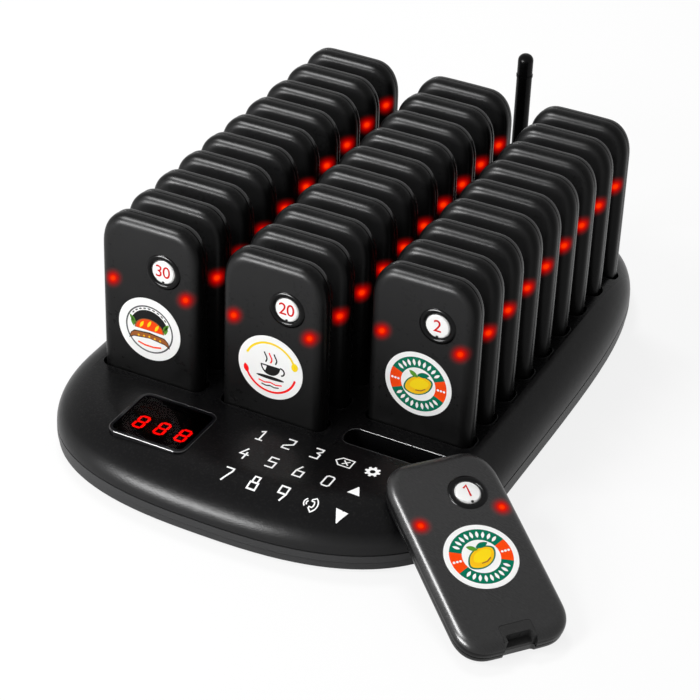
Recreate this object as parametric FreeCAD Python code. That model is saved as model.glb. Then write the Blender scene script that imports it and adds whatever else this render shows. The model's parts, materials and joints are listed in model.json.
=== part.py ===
"""Guest pager system: a charging base with three columns of ten slots, and thirty pagers.

All sizes are in millimetres. X runs to the right, Y to the back and Z up. The origin is on the
surface that the base stands on, under the middle of the base.
"""
import FreeCAD, Part
import math
import os

Vector = FreeCAD.Vector
os.makedirs("parts", exist_ok=True)

# ---------------------------------------------------------------- pager sizes
PAGER_WIDTH = 53.8
PAGER_LENGTH = 104.0
PAGER_THICKNESS = 11.2
PAGER_CORNER = 14.4          # corner radius of its outline
PAGER_WALL = 1.6
FACE_ROUND = 2.4             # rounding along the edge of the front face
BACK_ROUND = 1.8             # rounding along the edge of the back
FRONT_SHELL_DEPTH = 6.6
SEAM_WIDTH = 0.8             # groove between the two shells
REAR_STEP = 0.3              # how far the rear shell stands inside the front shell's outline
TONGUE_WALL = 1.2
TONGUE_HEIGHT = 2.2
TONGUE_CLEARANCE = 0.1

BUTTON_OFFSET = 8.0          # sideways from the pager's middle
BUTTON_FROM_TOP = 23.6
BUTTON_RADIUS = 6.1
BUTTON_CLEARANCE = 0.25
BUTTON_PROUD = 0.1
BUTTON_FLANGE = 1.3          # how far the flange reaches past the cap
BUTTON_FLANGE_THICKNESS = 0.6
COLLAR_RADIUS = 9.35
COLLAR_HEIGHT = 0.7

BOARD_THICKNESS = 1.0
BOARD_MARGIN = 0.6           # between the circuit board's edge and the shell's inside
BOARD_BOTTOM = 12.0          # from the pager's lower end
LIGHT_SPACING = 40.0
LIGHT_FROM_TOP = 35.2
LIGHT_SIZE = (3.0, 2.0, 1.2)
SWITCH_SIZE = (5.0, 5.0, 1.3)
BATTERY_SIZE = (30.0, 44.0, 3.6)
BATTERY_BOTTOM = 18.0
MOTOR_RADIUS = 5.0
MOTOR_THICKNESS = 3.0
MOTOR_OFFSET = -12.0
MOTOR_FROM_TOP = 22.0

CONTACT_BLOCK_WIDTH = 15.4
CONTACT_BLOCK_TOP = 10.4     # from the pager's lower end
CONTACT_BLOCK_BOTTOM = 2.0
CONTACT_BLOCK_CORNER = 1.5
CONTACT_POCKET_WIDTH = 12.6
CONTACT_POCKET_TOP = 5.5
CONTACT_POCKET_FLOOR = 0.5   # height of the pocket's back wall over the pager's middle plane
CONTACT_POCKET_CORNER = 1.2
PAD_SPACING = 5.0
PAD_SIZE = (2.4, 0.2, 3.5)
FIT_GAP = 0.1                # between pieces that fit into each other

PAGER_SCREW_SPACING = 38.0
PAGER_SCREW_HEIGHT = 22.0
PAGER_SCREW_RADIUS = 0.9
PAGER_SCREW_HEAD = 1.9
PAGER_BOSS_RADIUS = 2.6

# ---------------------------------------------------------------- base sizes
COLUMNS = 3
ROWS = 10
COLUMN_PITCH = 66.0
ROW_PITCH = 22.4
SIDE_MARGIN = 18.1           # from the outer pagers to the base's edge
PANEL_DEPTH = 72.25          # from the front row to the base's front edge
REAR_DECK = 52.15            # from the last row to the base's rear edge
WIDEST_FROM_FRONT = 83.0     # where the base is widest
FRONT_POWER = 2.6            # roundness of the outline: 2 is an ellipse, more is squarer
REAR_POWER = 4.7
OUTLINE_STEPS = 48
SIDE_REACH = 16.0            # how far the rounded shoulder reaches in from each edge
FRONT_REACH = 26.0
REAR_REACH = 20.0
SHOULDER_LEVELS = 6

FOOT_HEIGHT = 1.5
TRAY_FLOOR = 2.5
TRAY_WALL = 2.5
TRAY_TOP = 9.1
TRAY_GROOVE = (4.9, 5.5)     # lower and upper edge of the groove round the tray
GROOVE_DEPTH = 1.0
TRAY_TUCK = 0.6              # how far the tray stands in below its groove
TRAY_LEDGE = 2.0
TRAY_TONGUE_INSET = 2.8
TRAY_TONGUE_WALL = 1.4
TRAY_TONGUE_TOP = 12.5
COVER_SEAM = 0.8
COVER_WALL = 2.2
COVER_TOP_THICKNESS = 2.4

SLOT_SIDE_CLEARANCE = 1.4
SLOT_FACE_CLEARANCE = 0.9
SLOT_CORNER = 5.0
SLOT_DEPTH = 18.5            # how deep a pager stands in its slot
SEAT_GAP = 0.1
WELL_WALL = 1.2
WELL_FLOOR = 1.5
WELL_TO_TONGUE = 0.15        # between a well and the tray's tongue, where the outline curves in
MODULE_MARGIN = 1.5          # how far a slot module's plate reaches past its slot on each side
WELL_WINDOW = (12.4, 4.8)
BOARD_STANDOFF = 1.5
CHARGING_BOARD_THICKNESS = 1.6
CHARGING_BOARD_WIDTH = 54.0
CHARGING_BOARD_MARGIN = 9.0
BOARD_TO_WELL = 0.8
POST_SIZE = (11.2, 3.9)      # contact post in each slot
POST_TOP = 3.0               # over the well's floor
POST_FRONT_OFFSET = 2.95     # from the pager's middle plane to the post's middle
PIN_RADIUS = 0.5
PIN_TO_PAD = 0.2

KEY_COLUMNS = 5
KEY_ROWS = 3
KEY_PITCH_X = 14.55
KEY_PITCH_Y = 16.6
KEYPAD_LEFT = 4.4
KEYPAD_BACK_FROM_SLOT = 21.2
PILLAR_RADIUS = 3.2
PILLAR_GAP = 0.3

CONTROL_BOARD_X = (-66.0, 68.0)
CONTROL_BOARD_FROM_SLOT = (15.2, 58.4)
CONTROL_BOARD_HEIGHT = 13.0
CONTROL_BOARD_THICKNESS = 1.6
CHIP_SIZE = (12.0, 12.0, 1.6)
CHIP_PLACE = (-4.0, 12.0)    # from the board's left end of the keypad, and from its back edge
SOUNDER_RADIUS = 6.0
SOUNDER_HEIGHT = 6.5

BEZEL_SIZE = (42.0, 36.0)
BEZEL_CORNER = 5.5
BEZEL_WALL = 1.75
BEZEL_PROUD = 0.5
BEZEL_DEPTH = 7.5
BEZEL_LEDGE = 1.0
BEZEL_CENTRE_X = -40.9
BEZEL_FROM_SLOT = 35.4
WINDOW_THICKNESS = 2.0
DISPLAY_SIZE = (34.0, 18.5)
DISPLAY_TO_WINDOW = 1.0
DISPLAY_SHIFT = (0.4, -4.6)  # from the window's middle
DIGIT_SHIFT = 1.4            # sideways from the display block's middle
DIGIT_COUNT = 3
DIGIT_PITCH = 11.4
DIGIT_HEIGHT = 12.4          # between the middles of its top and bottom bars
DIGIT_WIDTH = 5.6
BAR_WIDTH = 1.7
BAR_DEPTH = 0.8
BAR_GAP = 0.05

PORT_BAY_WIDTH = 100.0
PORT_BAY_DEPTH = 17.0
PORT_BAY_CORNER = 5.0
PORT_BAY_FLOOR = 2.0
PORT_HEIGHT = 18.0           # the ports' middle over the surface that the base stands on
REAR_BOARD_X = (-48.0, 34.0)
REAR_BOARD_DEPTH = 22.0
REAR_BOARD_HEIGHT = 10.9
RADIO_SIZE = (24.0, 14.0, 3.5)
INLET_X = -36.0
INLET_SIZE = (9.0, 13.5, 11.0)
INLET_BORE = 3.15
INLET_BORE_DEPTH = 9.5
INLET_PIN_RADIUS = 1.0
PANEL_GAP = 0.15
SWITCH_X = -12.0
SWITCH_BODY = (13.4, 13.0, 9.0)
SWITCH_BEZEL = (15.4, 1.2, 10.8)
ROCKER_POCKET = (11.6, 7.6)
ROCKER_POCKET_DEPTH = 6.2
ROCKER_HALF_WIDTH = 4.9
ROCKER_HEIGHT = 7.1
ROCKER_PIVOT_DEPTH = 2.5     # behind the panel's outer face
ROCKER_TILT = 8.0            # degrees to each side
ROCKER_PIN_RADIUS = 0.8
ROCKER_PIN_REACH = 0.5       # how far the pins stand out of the rocker's ends
ANTENNA_X = 14.0
JACK_RADIUS = 3.1
JACK_BEHIND = 7.0
JACK_AHEAD = 5.0
NUT_ACROSS_FLATS = 8.0
NUT_THICKNESS = 2.0
COLLAR_OUTER = 4.3
COLLAR_LENGTH = 5.9
SWIVEL_CLEARANCE = 0.1
HINGE_FROM_PANEL = 12.7
CHEEK_RADIUS = 3.8
CHEEK_THICKNESS = 2.2
FORK_GAP = 4.2
FORK_CLEARANCE = 0.2
HINGE_PIN_RADIUS = 1.1
HINGE_CLEARANCE = 0.08
ROD_RADIUS = 4.15
ROD_FOOT_RADIUS = 4.6
ROD_FOOT_LENGTH = 7.0
ROD_START = 5.6              # from the hinge pin's middle
ROD_TIP = 96.7               # from the hinge pin's middle
ROD_RING_FROM_TIP = 13.0
ROD_RING_HEIGHT = 1.2
ROD_RING_PROUD = 0.3

BASE_SCREW_RADIUS = 1.4
BASE_SCREW_HEAD = 2.8
BASE_SCREW_HEAD_HEIGHT = 1.8
BASE_SCREW_LENGTH = 15.0
BASE_POST_RADIUS = 3.0
SCREW_ROW_STEPS = (4.5, 8.5)  # rows after which the middle and the rear screws stand
FRONT_SCREW_FROM_SLOT = 10.25
FOOT_RADIUS = 8.0
FOOT_RECESS = 1.0
FOOT_GAP = 0.1
FEET = ((0.0, 0.0), (-62.0, -0.39), (62.0, -0.39), (-80.0, 0.38), (80.0, 0.38))

# ---------------------------------------------------------------- loose pager
LOOSE_HEADING = 50.1         # degrees from +X to the line of its lower edge
LOOSE_FOOT_ASIDE = 49.7      # from the base's right edge to the middle of its lower edge
LOOSE_FOOT_AHEAD = 2.3       # from the base's front edge to the same point
LOOSE_GAP = 0.3

# ---------------------------------------------------------------- worked out from the sizes
FACE_Z = PAGER_THICKNESS / 2
SEAM_TOP_Z = FACE_Z - FRONT_SHELL_DEPTH
SEAM_LOW_Z = SEAM_TOP_Z - SEAM_WIDTH
BACK_Z = -PAGER_THICKNESS / 2
TONGUE_TOP_Z = SEAM_LOW_Z + TONGUE_HEIGHT
BOARD_TOP_Z = TONGUE_TOP_Z + BOARD_THICKNESS
BUTTON_Y = PAGER_LENGTH - BUTTON_FROM_TOP
LIGHT_Y = PAGER_LENGTH - LIGHT_FROM_TOP

BASE_WIDTH = (COLUMNS - 1) * COLUMN_PITCH + PAGER_WIDTH + 2 * SIDE_MARGIN
BASE_LENGTH = PANEL_DEPTH + (ROWS - 1) * ROW_PITCH + REAR_DECK
FRONT_EDGE = -BASE_LENGTH / 2
REAR_EDGE = BASE_LENGTH / 2
WIDEST_Y = FRONT_EDGE + WIDEST_FROM_FRONT
FIRST_ROW = FRONT_EDGE + PANEL_DEPTH
LAST_ROW = FIRST_ROW + (ROWS - 1) * ROW_PITCH
SLOT_HALF_X = PAGER_WIDTH / 2 + SLOT_SIDE_CLEARANCE
SLOT_HALF_Y = PAGER_THICKNESS / 2 + SLOT_FACE_CLEARANCE

FLOOR_TOP = FOOT_HEIGHT + TRAY_FLOOR
CHARGING_BOARD_TOP = FLOOR_TOP + BOARD_STANDOFF + CHARGING_BOARD_THICKNESS
WELL_BOTTOM = CHARGING_BOARD_TOP + BOARD_TO_WELL
WELL_SEAT = WELL_BOTTOM + WELL_FLOOR
PAGER_SEAT = WELL_SEAT + SEAT_GAP
BASE_TOP = PAGER_SEAT + SLOT_DEPTH
COVER_BOTTOM = TRAY_TOP + COVER_SEAM
CEILING = BASE_TOP - COVER_TOP_THICKNESS

CONTROL_BOARD_TOP = CONTROL_BOARD_HEIGHT + CONTROL_BOARD_THICKNESS
BEZEL_CENTRE_Y = FIRST_ROW - BEZEL_FROM_SLOT
WINDOW_TOP = BASE_TOP
WINDOW_BOTTOM = WINDOW_TOP - WINDOW_THICKNESS
DISPLAY_TOP = WINDOW_BOTTOM - DISPLAY_TO_WINDOW
PANEL_Y = REAR_EDGE - PORT_BAY_DEPTH
PANEL_INSIDE_Y = PANEL_Y - COVER_WALL
HINGE_Y = PANEL_Y + HINGE_FROM_PANEL
ROCKER_PIVOT_Y = PANEL_Y - ROCKER_PIVOT_DEPTH
REAR_BOARD_TOP = REAR_BOARD_HEIGHT + CHARGING_BOARD_THICKNESS


# ---------------------------------------------------------------- helpers
def save(name, solids):
    """Write one piece, or a group of separate solids, to its own file."""
    shape = solids[0] if len(solids) == 1 else Part.makeCompound(solids)
    shape.exportStep("parts/" + name + ".step")


def block(size, centre, bottom):
    """Box of the given size, centred in X and Y, standing on bottom."""
    corner = Vector(centre[0] - size[0] / 2, centre[1] - size[1] / 2, bottom)
    return Part.makeBox(size[0], size[1], size[2], corner)


def box_between(low, high):
    """Box from its lowest to its highest corner."""
    return Part.makeBox(high[0] - low[0], high[1] - low[1], high[2] - low[2], Vector(*low))


def post(radius, x, y, low, high):
    """Upright cylinder."""
    return Part.makeCylinder(radius, high - low, Vector(x, y, low))


def rod_along_y(radius, x, z, low, high):
    """Cylinder that runs towards the back."""
    return Part.makeCylinder(radius, high - low, Vector(x, low, z), Vector(0, 1, 0))


def rounded_prism(width, depth, corner, low, high, centre=(0.0, 0.0)):
    """Upright prism on a rectangle with rounded corners."""
    half_x = width / 2
    half_y = depth / 2
    edges = []
    signs = ((1, 1), (-1, 1), (-1, -1), (1, -1))
    starts = []
    ends = []
    for turn, (side_x, side_y) in enumerate(signs):
        middle = Vector(centre[0] + side_x * (half_x - corner), centre[1] + side_y * (half_y - corner), low)
        start_angle = math.radians(90 * turn)
        points = []
        for share in (0.0, 0.5, 1.0):
            angle = start_angle + share * math.pi / 2
            points.append(middle + Vector(corner * math.cos(angle), corner * math.sin(angle), 0))
        edges.append(Part.Arc(*points).toShape())
        starts.append(points[0])
        ends.append(points[2])
    for turn in range(4):
        start = ends[turn]
        end = starts[(turn + 1) % 4]
        if start.distanceToPoint(end) > 1e-6:
            edges.append(Part.makeLine(start, end))
    wire = Part.Wire(Part.__sortEdges__(edges))
    return Part.Face(wire).extrude(Vector(0, 0, high - low))


def fused(first, others):
    """One solid from pieces that touch or overlap."""
    return first.fuse(others).removeSplitter()


def edges_at_height(shape, height):
    """Edges that lie flat at one height."""
    found = []
    for edge in shape.Edges:
        box = edge.BoundBox
        if abs(box.ZMin - height) < 1e-4 and abs(box.ZMax - height) < 1e-4:
            found.append(edge)
    return found


# ---------------------------------------------------------------- pager pieces
# A pager is modelled lying on its back: X across, Y from its lower end to its top, Z out of its face.
def pager_plate(inset, low, high):
    """The pager's outline, pulled in by inset, as a plate."""
    width = PAGER_WIDTH - 2 * inset
    length = PAGER_LENGTH - 2 * inset
    return rounded_prism(width, length, PAGER_CORNER - inset, low, high, (0.0, PAGER_LENGTH / 2))


def pager_screw_places():
    """Where the two case screws stand."""
    return ((-PAGER_SCREW_SPACING / 2, PAGER_SCREW_HEIGHT), (PAGER_SCREW_SPACING / 2, PAGER_SCREW_HEIGHT))


def front_shell():
    """Front half of the case, with the raised collar round the number button."""
    shell = pager_plate(0.0, SEAM_TOP_Z, FACE_Z)
    shell = shell.makeFillet(FACE_ROUND, edges_at_height(shell, FACE_Z))
    shell = shell.cut(pager_plate(PAGER_WALL, SEAM_TOP_Z, FACE_Z - PAGER_WALL))
    inner = BUTTON_RADIUS + BUTTON_CLEARANCE
    bosses = [button_collar(inner)]
    for x, y in pager_screw_places():
        bosses.append(post(PAGER_BOSS_RADIUS, x, y, BOARD_TOP_Z, FACE_Z - PAGER_WALL / 2))
    shell = fused(shell, bosses)
    cuts = [post(inner, BUTTON_OFFSET, BUTTON_Y, FACE_Z - 2 * PAGER_WALL, FACE_Z + COLLAR_HEIGHT + 1)]
    for x, y in pager_screw_places():
        cuts.append(post(PAGER_SCREW_RADIUS + FIT_GAP, x, y, BOARD_TOP_Z, FACE_Z - PAGER_WALL))
    cuts.append(contact_notch(CONTACT_BLOCK_TOP + FIT_GAP, SEAM_TOP_Z, FACE_Z + 1))
    return shell.cut(cuts)


def button_collar(inner):
    """Raised ring with a rounded crown, turned about the button's axis."""
    low = FACE_Z - PAGER_WALL / 2
    crown = FACE_Z + COLLAR_HEIGHT
    inside_low = Vector(inner, 0, low)
    inside_mid = Vector(inner, 0, FACE_Z - COLLAR_HEIGHT / 4)
    inside_top = Vector(inner + COLLAR_HEIGHT, 0, crown - COLLAR_HEIGHT / 5)
    outside_top = Vector(COLLAR_RADIUS, 0, FACE_Z)
    outside_low = Vector(COLLAR_RADIUS, 0, low)
    crest = Vector((inside_top.x + COLLAR_RADIUS) / 2, 0, crown)
    edges = [
        Part.makeLine(inside_low, inside_mid),
        Part.makeLine(inside_mid, inside_top),
        Part.Arc(inside_top, crest, outside_top).toShape(),
        Part.makeLine(outside_top, outside_low),
        Part.makeLine(outside_low, inside_low),
    ]
    profile = Part.Face(Part.Wire(edges))
    ring = profile.revolve(Vector(0, 0, 0), Vector(0, 0, 1), 360)
    ring.translate(Vector(BUTTON_OFFSET, BUTTON_Y, 0))
    return ring


def contact_notch(top, low, high):
    """Space for the contact block at the pager's lower end."""
    width = CONTACT_BLOCK_WIDTH + 2 * FIT_GAP
    return rounded_prism(width, 2 * top, CONTACT_BLOCK_CORNER + FIT_GAP, low, high)


def rear_shell():
    """Rear half of the case, with the tongue that enters the front half."""
    shell = pager_plate(REAR_STEP, BACK_Z, SEAM_LOW_Z)
    shell = shell.makeFillet(BACK_ROUND, edges_at_height(shell, BACK_Z))
    tongue_out = PAGER_WALL + TONGUE_CLEARANCE
    tongue_in = tongue_out + TONGUE_WALL
    shell = fused(shell, [pager_plate(tongue_out, SEAM_LOW_Z, TONGUE_TOP_Z)])
    shell = shell.cut(pager_plate(tongue_in, BACK_Z + PAGER_WALL, TONGUE_TOP_Z))
    bosses = []
    cuts = []
    for x, y in pager_screw_places():
        bosses.append(post(PAGER_BOSS_RADIUS, x, y, BACK_Z + PAGER_WALL / 2, TONGUE_TOP_Z))
        cuts.append(post(PAGER_SCREW_RADIUS + 2 * FIT_GAP, x, y, BACK_Z, TONGUE_TOP_Z))
        cuts.append(post(PAGER_SCREW_HEAD + 2 * FIT_GAP, x, y, BACK_Z, BACK_Z + PAGER_WALL + FIT_GAP))
    cuts.append(contact_notch(CONTACT_BLOCK_BOTTOM, BACK_Z - 1, SEAM_LOW_Z))
    cuts.append(contact_notch(CONTACT_BLOCK_TOP, SEAM_LOW_Z, TONGUE_TOP_Z))
    return fused(shell, bosses).cut(cuts)


def number_button():
    """Round cap that carries the pager's number, with the flange that keeps it in."""
    top = FACE_Z + BUTTON_PROUD
    flange_top = FACE_Z - PAGER_WALL - FIT_GAP
    flange_low = flange_top - BUTTON_FLANGE_THICKNESS
    cap = post(BUTTON_RADIUS, BUTTON_OFFSET, BUTTON_Y, flange_low, top)
    cap = cap.makeFillet(2 * BUTTON_CLEARANCE, edges_at_height(cap, top))
    flange = post(BUTTON_RADIUS + BUTTON_FLANGE, BUTTON_OFFSET, BUTTON_Y, flange_low, flange_top)
    return fused(cap, [flange])


def pager_board():
    """Circuit board that rests on the rear shell's tongue."""
    board = pager_plate(PAGER_WALL + BOARD_MARGIN, TONGUE_TOP_Z, BOARD_TOP_Z)
    lower_end = box_between((-PAGER_WIDTH, -1.0, TONGUE_TOP_Z), (PAGER_WIDTH, BOARD_BOTTOM, BOARD_TOP_Z))
    holes = [post(PAGER_SCREW_RADIUS + 3 * FIT_GAP, x, y, TONGUE_TOP_Z, BOARD_TOP_Z)
             for x, y in pager_screw_places()]
    return board.cut([lower_end] + holes)


def board_lights():
    """The two lights that shine through the front shell."""
    return [block(LIGHT_SIZE, (side * LIGHT_SPACING / 2, LIGHT_Y), BOARD_TOP_Z) for side in (-1, 1)]


def board_switch():
    """Key switch under the number button."""
    return block(SWITCH_SIZE, (BUTTON_OFFSET, BUTTON_Y), BOARD_TOP_Z)


def battery():
    """Flat cell on the rear shell's inside."""
    middle = BATTERY_BOTTOM + BATTERY_SIZE[1] / 2
    return block(BATTERY_SIZE, (0.0, middle), BACK_Z + PAGER_WALL + FIT_GAP)


def vibration_motor():
    """Coin motor on the board's rear face."""
    top = TONGUE_TOP_Z - FIT_GAP
    return post(MOTOR_RADIUS, MOTOR_OFFSET, PAGER_LENGTH - MOTOR_FROM_TOP, top - MOTOR_THICKNESS, top)


def contact_block():
    """Insert at the lower end, with the mouth that the charging pins enter."""
    low = SEAM_LOW_Z + FIT_GAP
    body = rounded_prism(CONTACT_BLOCK_WIDTH, 2 * CONTACT_BLOCK_TOP, CONTACT_BLOCK_CORNER, low, FACE_Z - FIT_GAP)
    below = box_between((-CONTACT_BLOCK_WIDTH, -2 * CONTACT_BLOCK_TOP, low - 1),
                        (CONTACT_BLOCK_WIDTH, CONTACT_BLOCK_BOTTOM, FACE_Z + 1))
    mouth = rounded_prism(CONTACT_POCKET_WIDTH, 2 * CONTACT_POCKET_TOP, CONTACT_POCKET_CORNER,
                          CONTACT_POCKET_FLOOR, FACE_Z + 1)
    return body.cut([below, mouth])


def contact_pads():
    """The two plated pads on the mouth's ceiling."""
    pads = []
    low = CONTACT_POCKET_FLOOR + (FACE_Z - CONTACT_POCKET_FLOOR - PAD_SIZE[2]) / 2
    for side in (-1, 1):
        middle = (side * PAD_SPACING / 2, CONTACT_POCKET_TOP - PAD_SIZE[1] / 2)
        pads.append(block(PAD_SIZE, middle, low))
    return pads


def pager_screws():
    """Two cross-head screws, driven in from the back."""
    screws = []
    head_low = BACK_Z + 3 * FIT_GAP
    head_top = BACK_Z + PAGER_WALL
    tip = FACE_Z - PAGER_WALL - FIT_GAP
    for x, y in pager_screw_places():
        head = post(PAGER_SCREW_HEAD, x, y, head_low, head_top)
        shank = post(PAGER_SCREW_RADIUS, x, y, head_top, tip)
        bar = PAGER_SCREW_HEAD * 1.2
        slot = PAGER_SCREW_HEAD * 0.3
        depth = (head_top - head_low) / 2
        cross = [block((bar, slot, depth), (x, y), head_low), block((slot, bar, depth), (x, y), head_low)]
        screws.append(fused(head, [shank]).cut(cross))
    return screws


def docked_placement(column, row):
    """Puts a flat-lying pager upright into a slot, its face to the front."""
    place = Vector(column_x(column), row_y(row), PAGER_SEAT)
    return FreeCAD.Placement(place, FreeCAD.Rotation(Vector(1, 0, 0), 90))


def placed(shapes, placement):
    """Copies of the shapes at a placement."""
    copies = []
    for shape in shapes:
        copy = shape.copy()
        copy.transformShape(placement.toMatrix(), True)
        copies.append(copy)
    return copies


# ---------------------------------------------------------------- base outline and shoulder
def column_x(column):
    """Middle of a column, counted from the left."""
    return (column - (COLUMNS - 1) / 2) * COLUMN_PITCH


def row_y(row):
    """Middle of a row, counted from the front."""
    return FIRST_ROW + row * ROW_PITCH


def outline_point(angle, side_in, front_in, rear_in):
    """Point of the base's outline, pulled in by the three insets."""
    across = math.cos(angle)
    along = math.sin(angle)
    half_width = BASE_WIDTH / 2 - side_in
    if along < 0:
        reach = WIDEST_Y - FRONT_EDGE - front_in
        power = FRONT_POWER
    else:
        reach = REAR_EDGE - WIDEST_Y - rear_in
        power = REAR_POWER
    scale = (abs(across) ** power + abs(along) ** power) ** (-1 / power)
    return half_width * scale * across, WIDEST_Y + reach * scale * along


def outline_wire(side_in, front_in, rear_in, z):
    """Smooth closed curve through the outline's points, which starts in the middle of the front edge."""
    points = []
    for step in range(OUTLINE_STEPS):
        turn = 2 * math.pi * step / OUTLINE_STEPS - math.pi / 2
        x, y = outline_point(turn, side_in, front_in, rear_in)
        points.append(Vector(x, y, z))
    curve = Part.BSplineCurve()
    curve.interpolate(Points=points, PeriodicFlag=True)
    return Part.Wire([curve.toShape()])


def outline_prism(inset, low, high):
    """The outline, pulled in evenly, as an upright prism."""
    face = Part.Face(outline_wire(inset, inset, inset, low))
    return face.extrude(Vector(0, 0, high - low))


def shoulder_insets(inset, turn):
    """Side, front and rear inset at one turn of the shoulder's quarter ellipse."""
    pull = 1 - math.cos(turn)
    return inset + SIDE_REACH * pull, inset + FRONT_REACH * pull, inset + REAR_REACH * pull


def pillow(inset, bottom, top):
    """Body with the base's outline, whose wall bends over to a flat top."""
    wires = []
    for level in range(SHOULDER_LEVELS + 1):
        turn = math.pi / 2 * level / SHOULDER_LEVELS
        side_in, front_in, rear_in = shoulder_insets(inset, turn)
        wires.append(outline_wire(side_in, front_in, rear_in, bottom + (top - bottom) * math.sin(turn)))
    return Part.makeLoft(wires, True, False)


def pillow_height(x, y, inset, bottom, top):
    """Height of the pillow's surface over one point, found by halving the turn."""
    low = 0.0
    high = math.pi / 2
    for _ in range(30):
        turn = (low + high) / 2
        side_in, front_in, rear_in = shoulder_insets(inset, turn)
        across = abs(x) / (BASE_WIDTH / 2 - side_in)
        if y < WIDEST_Y:
            along = (WIDEST_Y - y) / (WIDEST_Y - FRONT_EDGE - front_in)
            power = FRONT_POWER
        else:
            along = (y - WIDEST_Y) / (REAR_EDGE - WIDEST_Y - rear_in)
            power = REAR_POWER
        if across ** power + along ** power < 1:
            low = turn
        else:
            high = turn
    return bottom + (top - bottom) * math.sin(low)


def base_screw_places():
    """Where the six screws that join the tray and the cover stand, between the columns."""
    rows = [FIRST_ROW - FRONT_SCREW_FROM_SLOT] + [FIRST_ROW + step * ROW_PITCH for step in SCREW_ROW_STEPS]
    return [(side * COLUMN_PITCH / 2, y) for side in (-1, 1) for y in rows]


def foot_places():
    """Middles of the rubber feet: across, and along as a share of the base's length."""
    return [(x, share * BASE_LENGTH) for x, share in FEET]


# ---------------------------------------------------------------- base pieces
def slot_prism(grow, low, high, x, y):
    """A slot's outline, grown all round, as an upright prism."""
    return rounded_prism(2 * (SLOT_HALF_X + grow), 2 * (SLOT_HALF_Y + grow), SLOT_CORNER + grow, low, high, (x, y))


def port_bay(grow, floor):
    """Space at the rear edge in which the ports and the antenna's joint stand."""
    front = PANEL_Y - grow
    back = REAR_EDGE + PORT_BAY_DEPTH
    width = PORT_BAY_WIDTH + 2 * grow
    return rounded_prism(width, back - front, PORT_BAY_CORNER + grow, floor, 2 * BASE_TOP, (0.0, (front + back) / 2))


def inside_of_cover():
    """The hollow of the cover."""
    return pillow(COVER_WALL, COVER_BOTTOM, CEILING)


def module_box(column, first_row, last_row):
    """Upright box round the slot modules of a column, from one row to another."""
    half_x = SLOT_HALF_X + MODULE_MARGIN
    low = (column_x(column) - half_x, row_y(first_row) - ROW_PITCH / 2, FLOOR_TOP)
    high = (column_x(column) + half_x, row_y(last_row) + ROW_PITCH / 2, BASE_TOP + 1)
    return box_between(low, high)


def cover_bosses():
    """Posts under the cover that take the screws from the tray."""
    return [post(BASE_POST_RADIUS, x, y, TRAY_TOP + 2 * FIT_GAP, BASE_TOP - COVER_TOP_THICKNESS / 2)
            for x, y in base_screw_places()]


def top_cover():
    """Upper shell of the base, open for the slot modules, the display and the port housing."""
    cover = pillow(0.0, COVER_BOTTOM, BASE_TOP).cut(inside_of_cover())
    cuts = [module_box(column, 0, ROWS - 1) for column in range(COLUMNS)]
    cuts.append(port_bay(COVER_WALL, COVER_BOTTOM - 1))
    cuts.append(rounded_prism(BEZEL_SIZE[0] + 2 * FIT_GAP, BEZEL_SIZE[1] + 2 * FIT_GAP, BEZEL_CORNER + FIT_GAP,
                              COVER_BOTTOM + 1, BASE_TOP + 1, (BEZEL_CENTRE_X, BEZEL_CENTRE_Y)))
    cover = fused(cover.cut(cuts), cover_bosses())
    return cover.cut([post(BASE_SCREW_RADIUS + FIT_GAP / 2, x, y, TRAY_TOP, CEILING - 1)
                      for x, y in base_screw_places()])


def port_housing():
    """Tub at the rear edge, with a floor, two side walls and the port panel."""
    tub = pillow(0.0, COVER_BOTTOM, BASE_TOP).common(port_bay(COVER_WALL, COVER_BOTTOM - 1))
    return tub.cut([port_bay(0.0, COVER_BOTTOM + PORT_BAY_FLOOR)] + port_holes())


def port_holes():
    """Openings in the port panel for the power socket, the rocker switch and the antenna jack."""
    front = PANEL_INSIDE_Y - 1
    back = PANEL_Y + 1
    holes = []
    for x, width, height in ((INLET_X, INLET_SIZE[0], INLET_SIZE[2]), (SWITCH_X, SWITCH_BODY[0], SWITCH_BODY[2])):
        half_x = width / 2 + PANEL_GAP
        half_z = height / 2 + PANEL_GAP
        holes.append(box_between((x - half_x, front, PORT_HEIGHT - half_z), (x + half_x, back, PORT_HEIGHT + half_z)))
    holes.append(rod_along_y(JACK_RADIUS + PANEL_GAP, ANTENNA_X, PORT_HEIGHT, front, back))
    return holes


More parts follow.
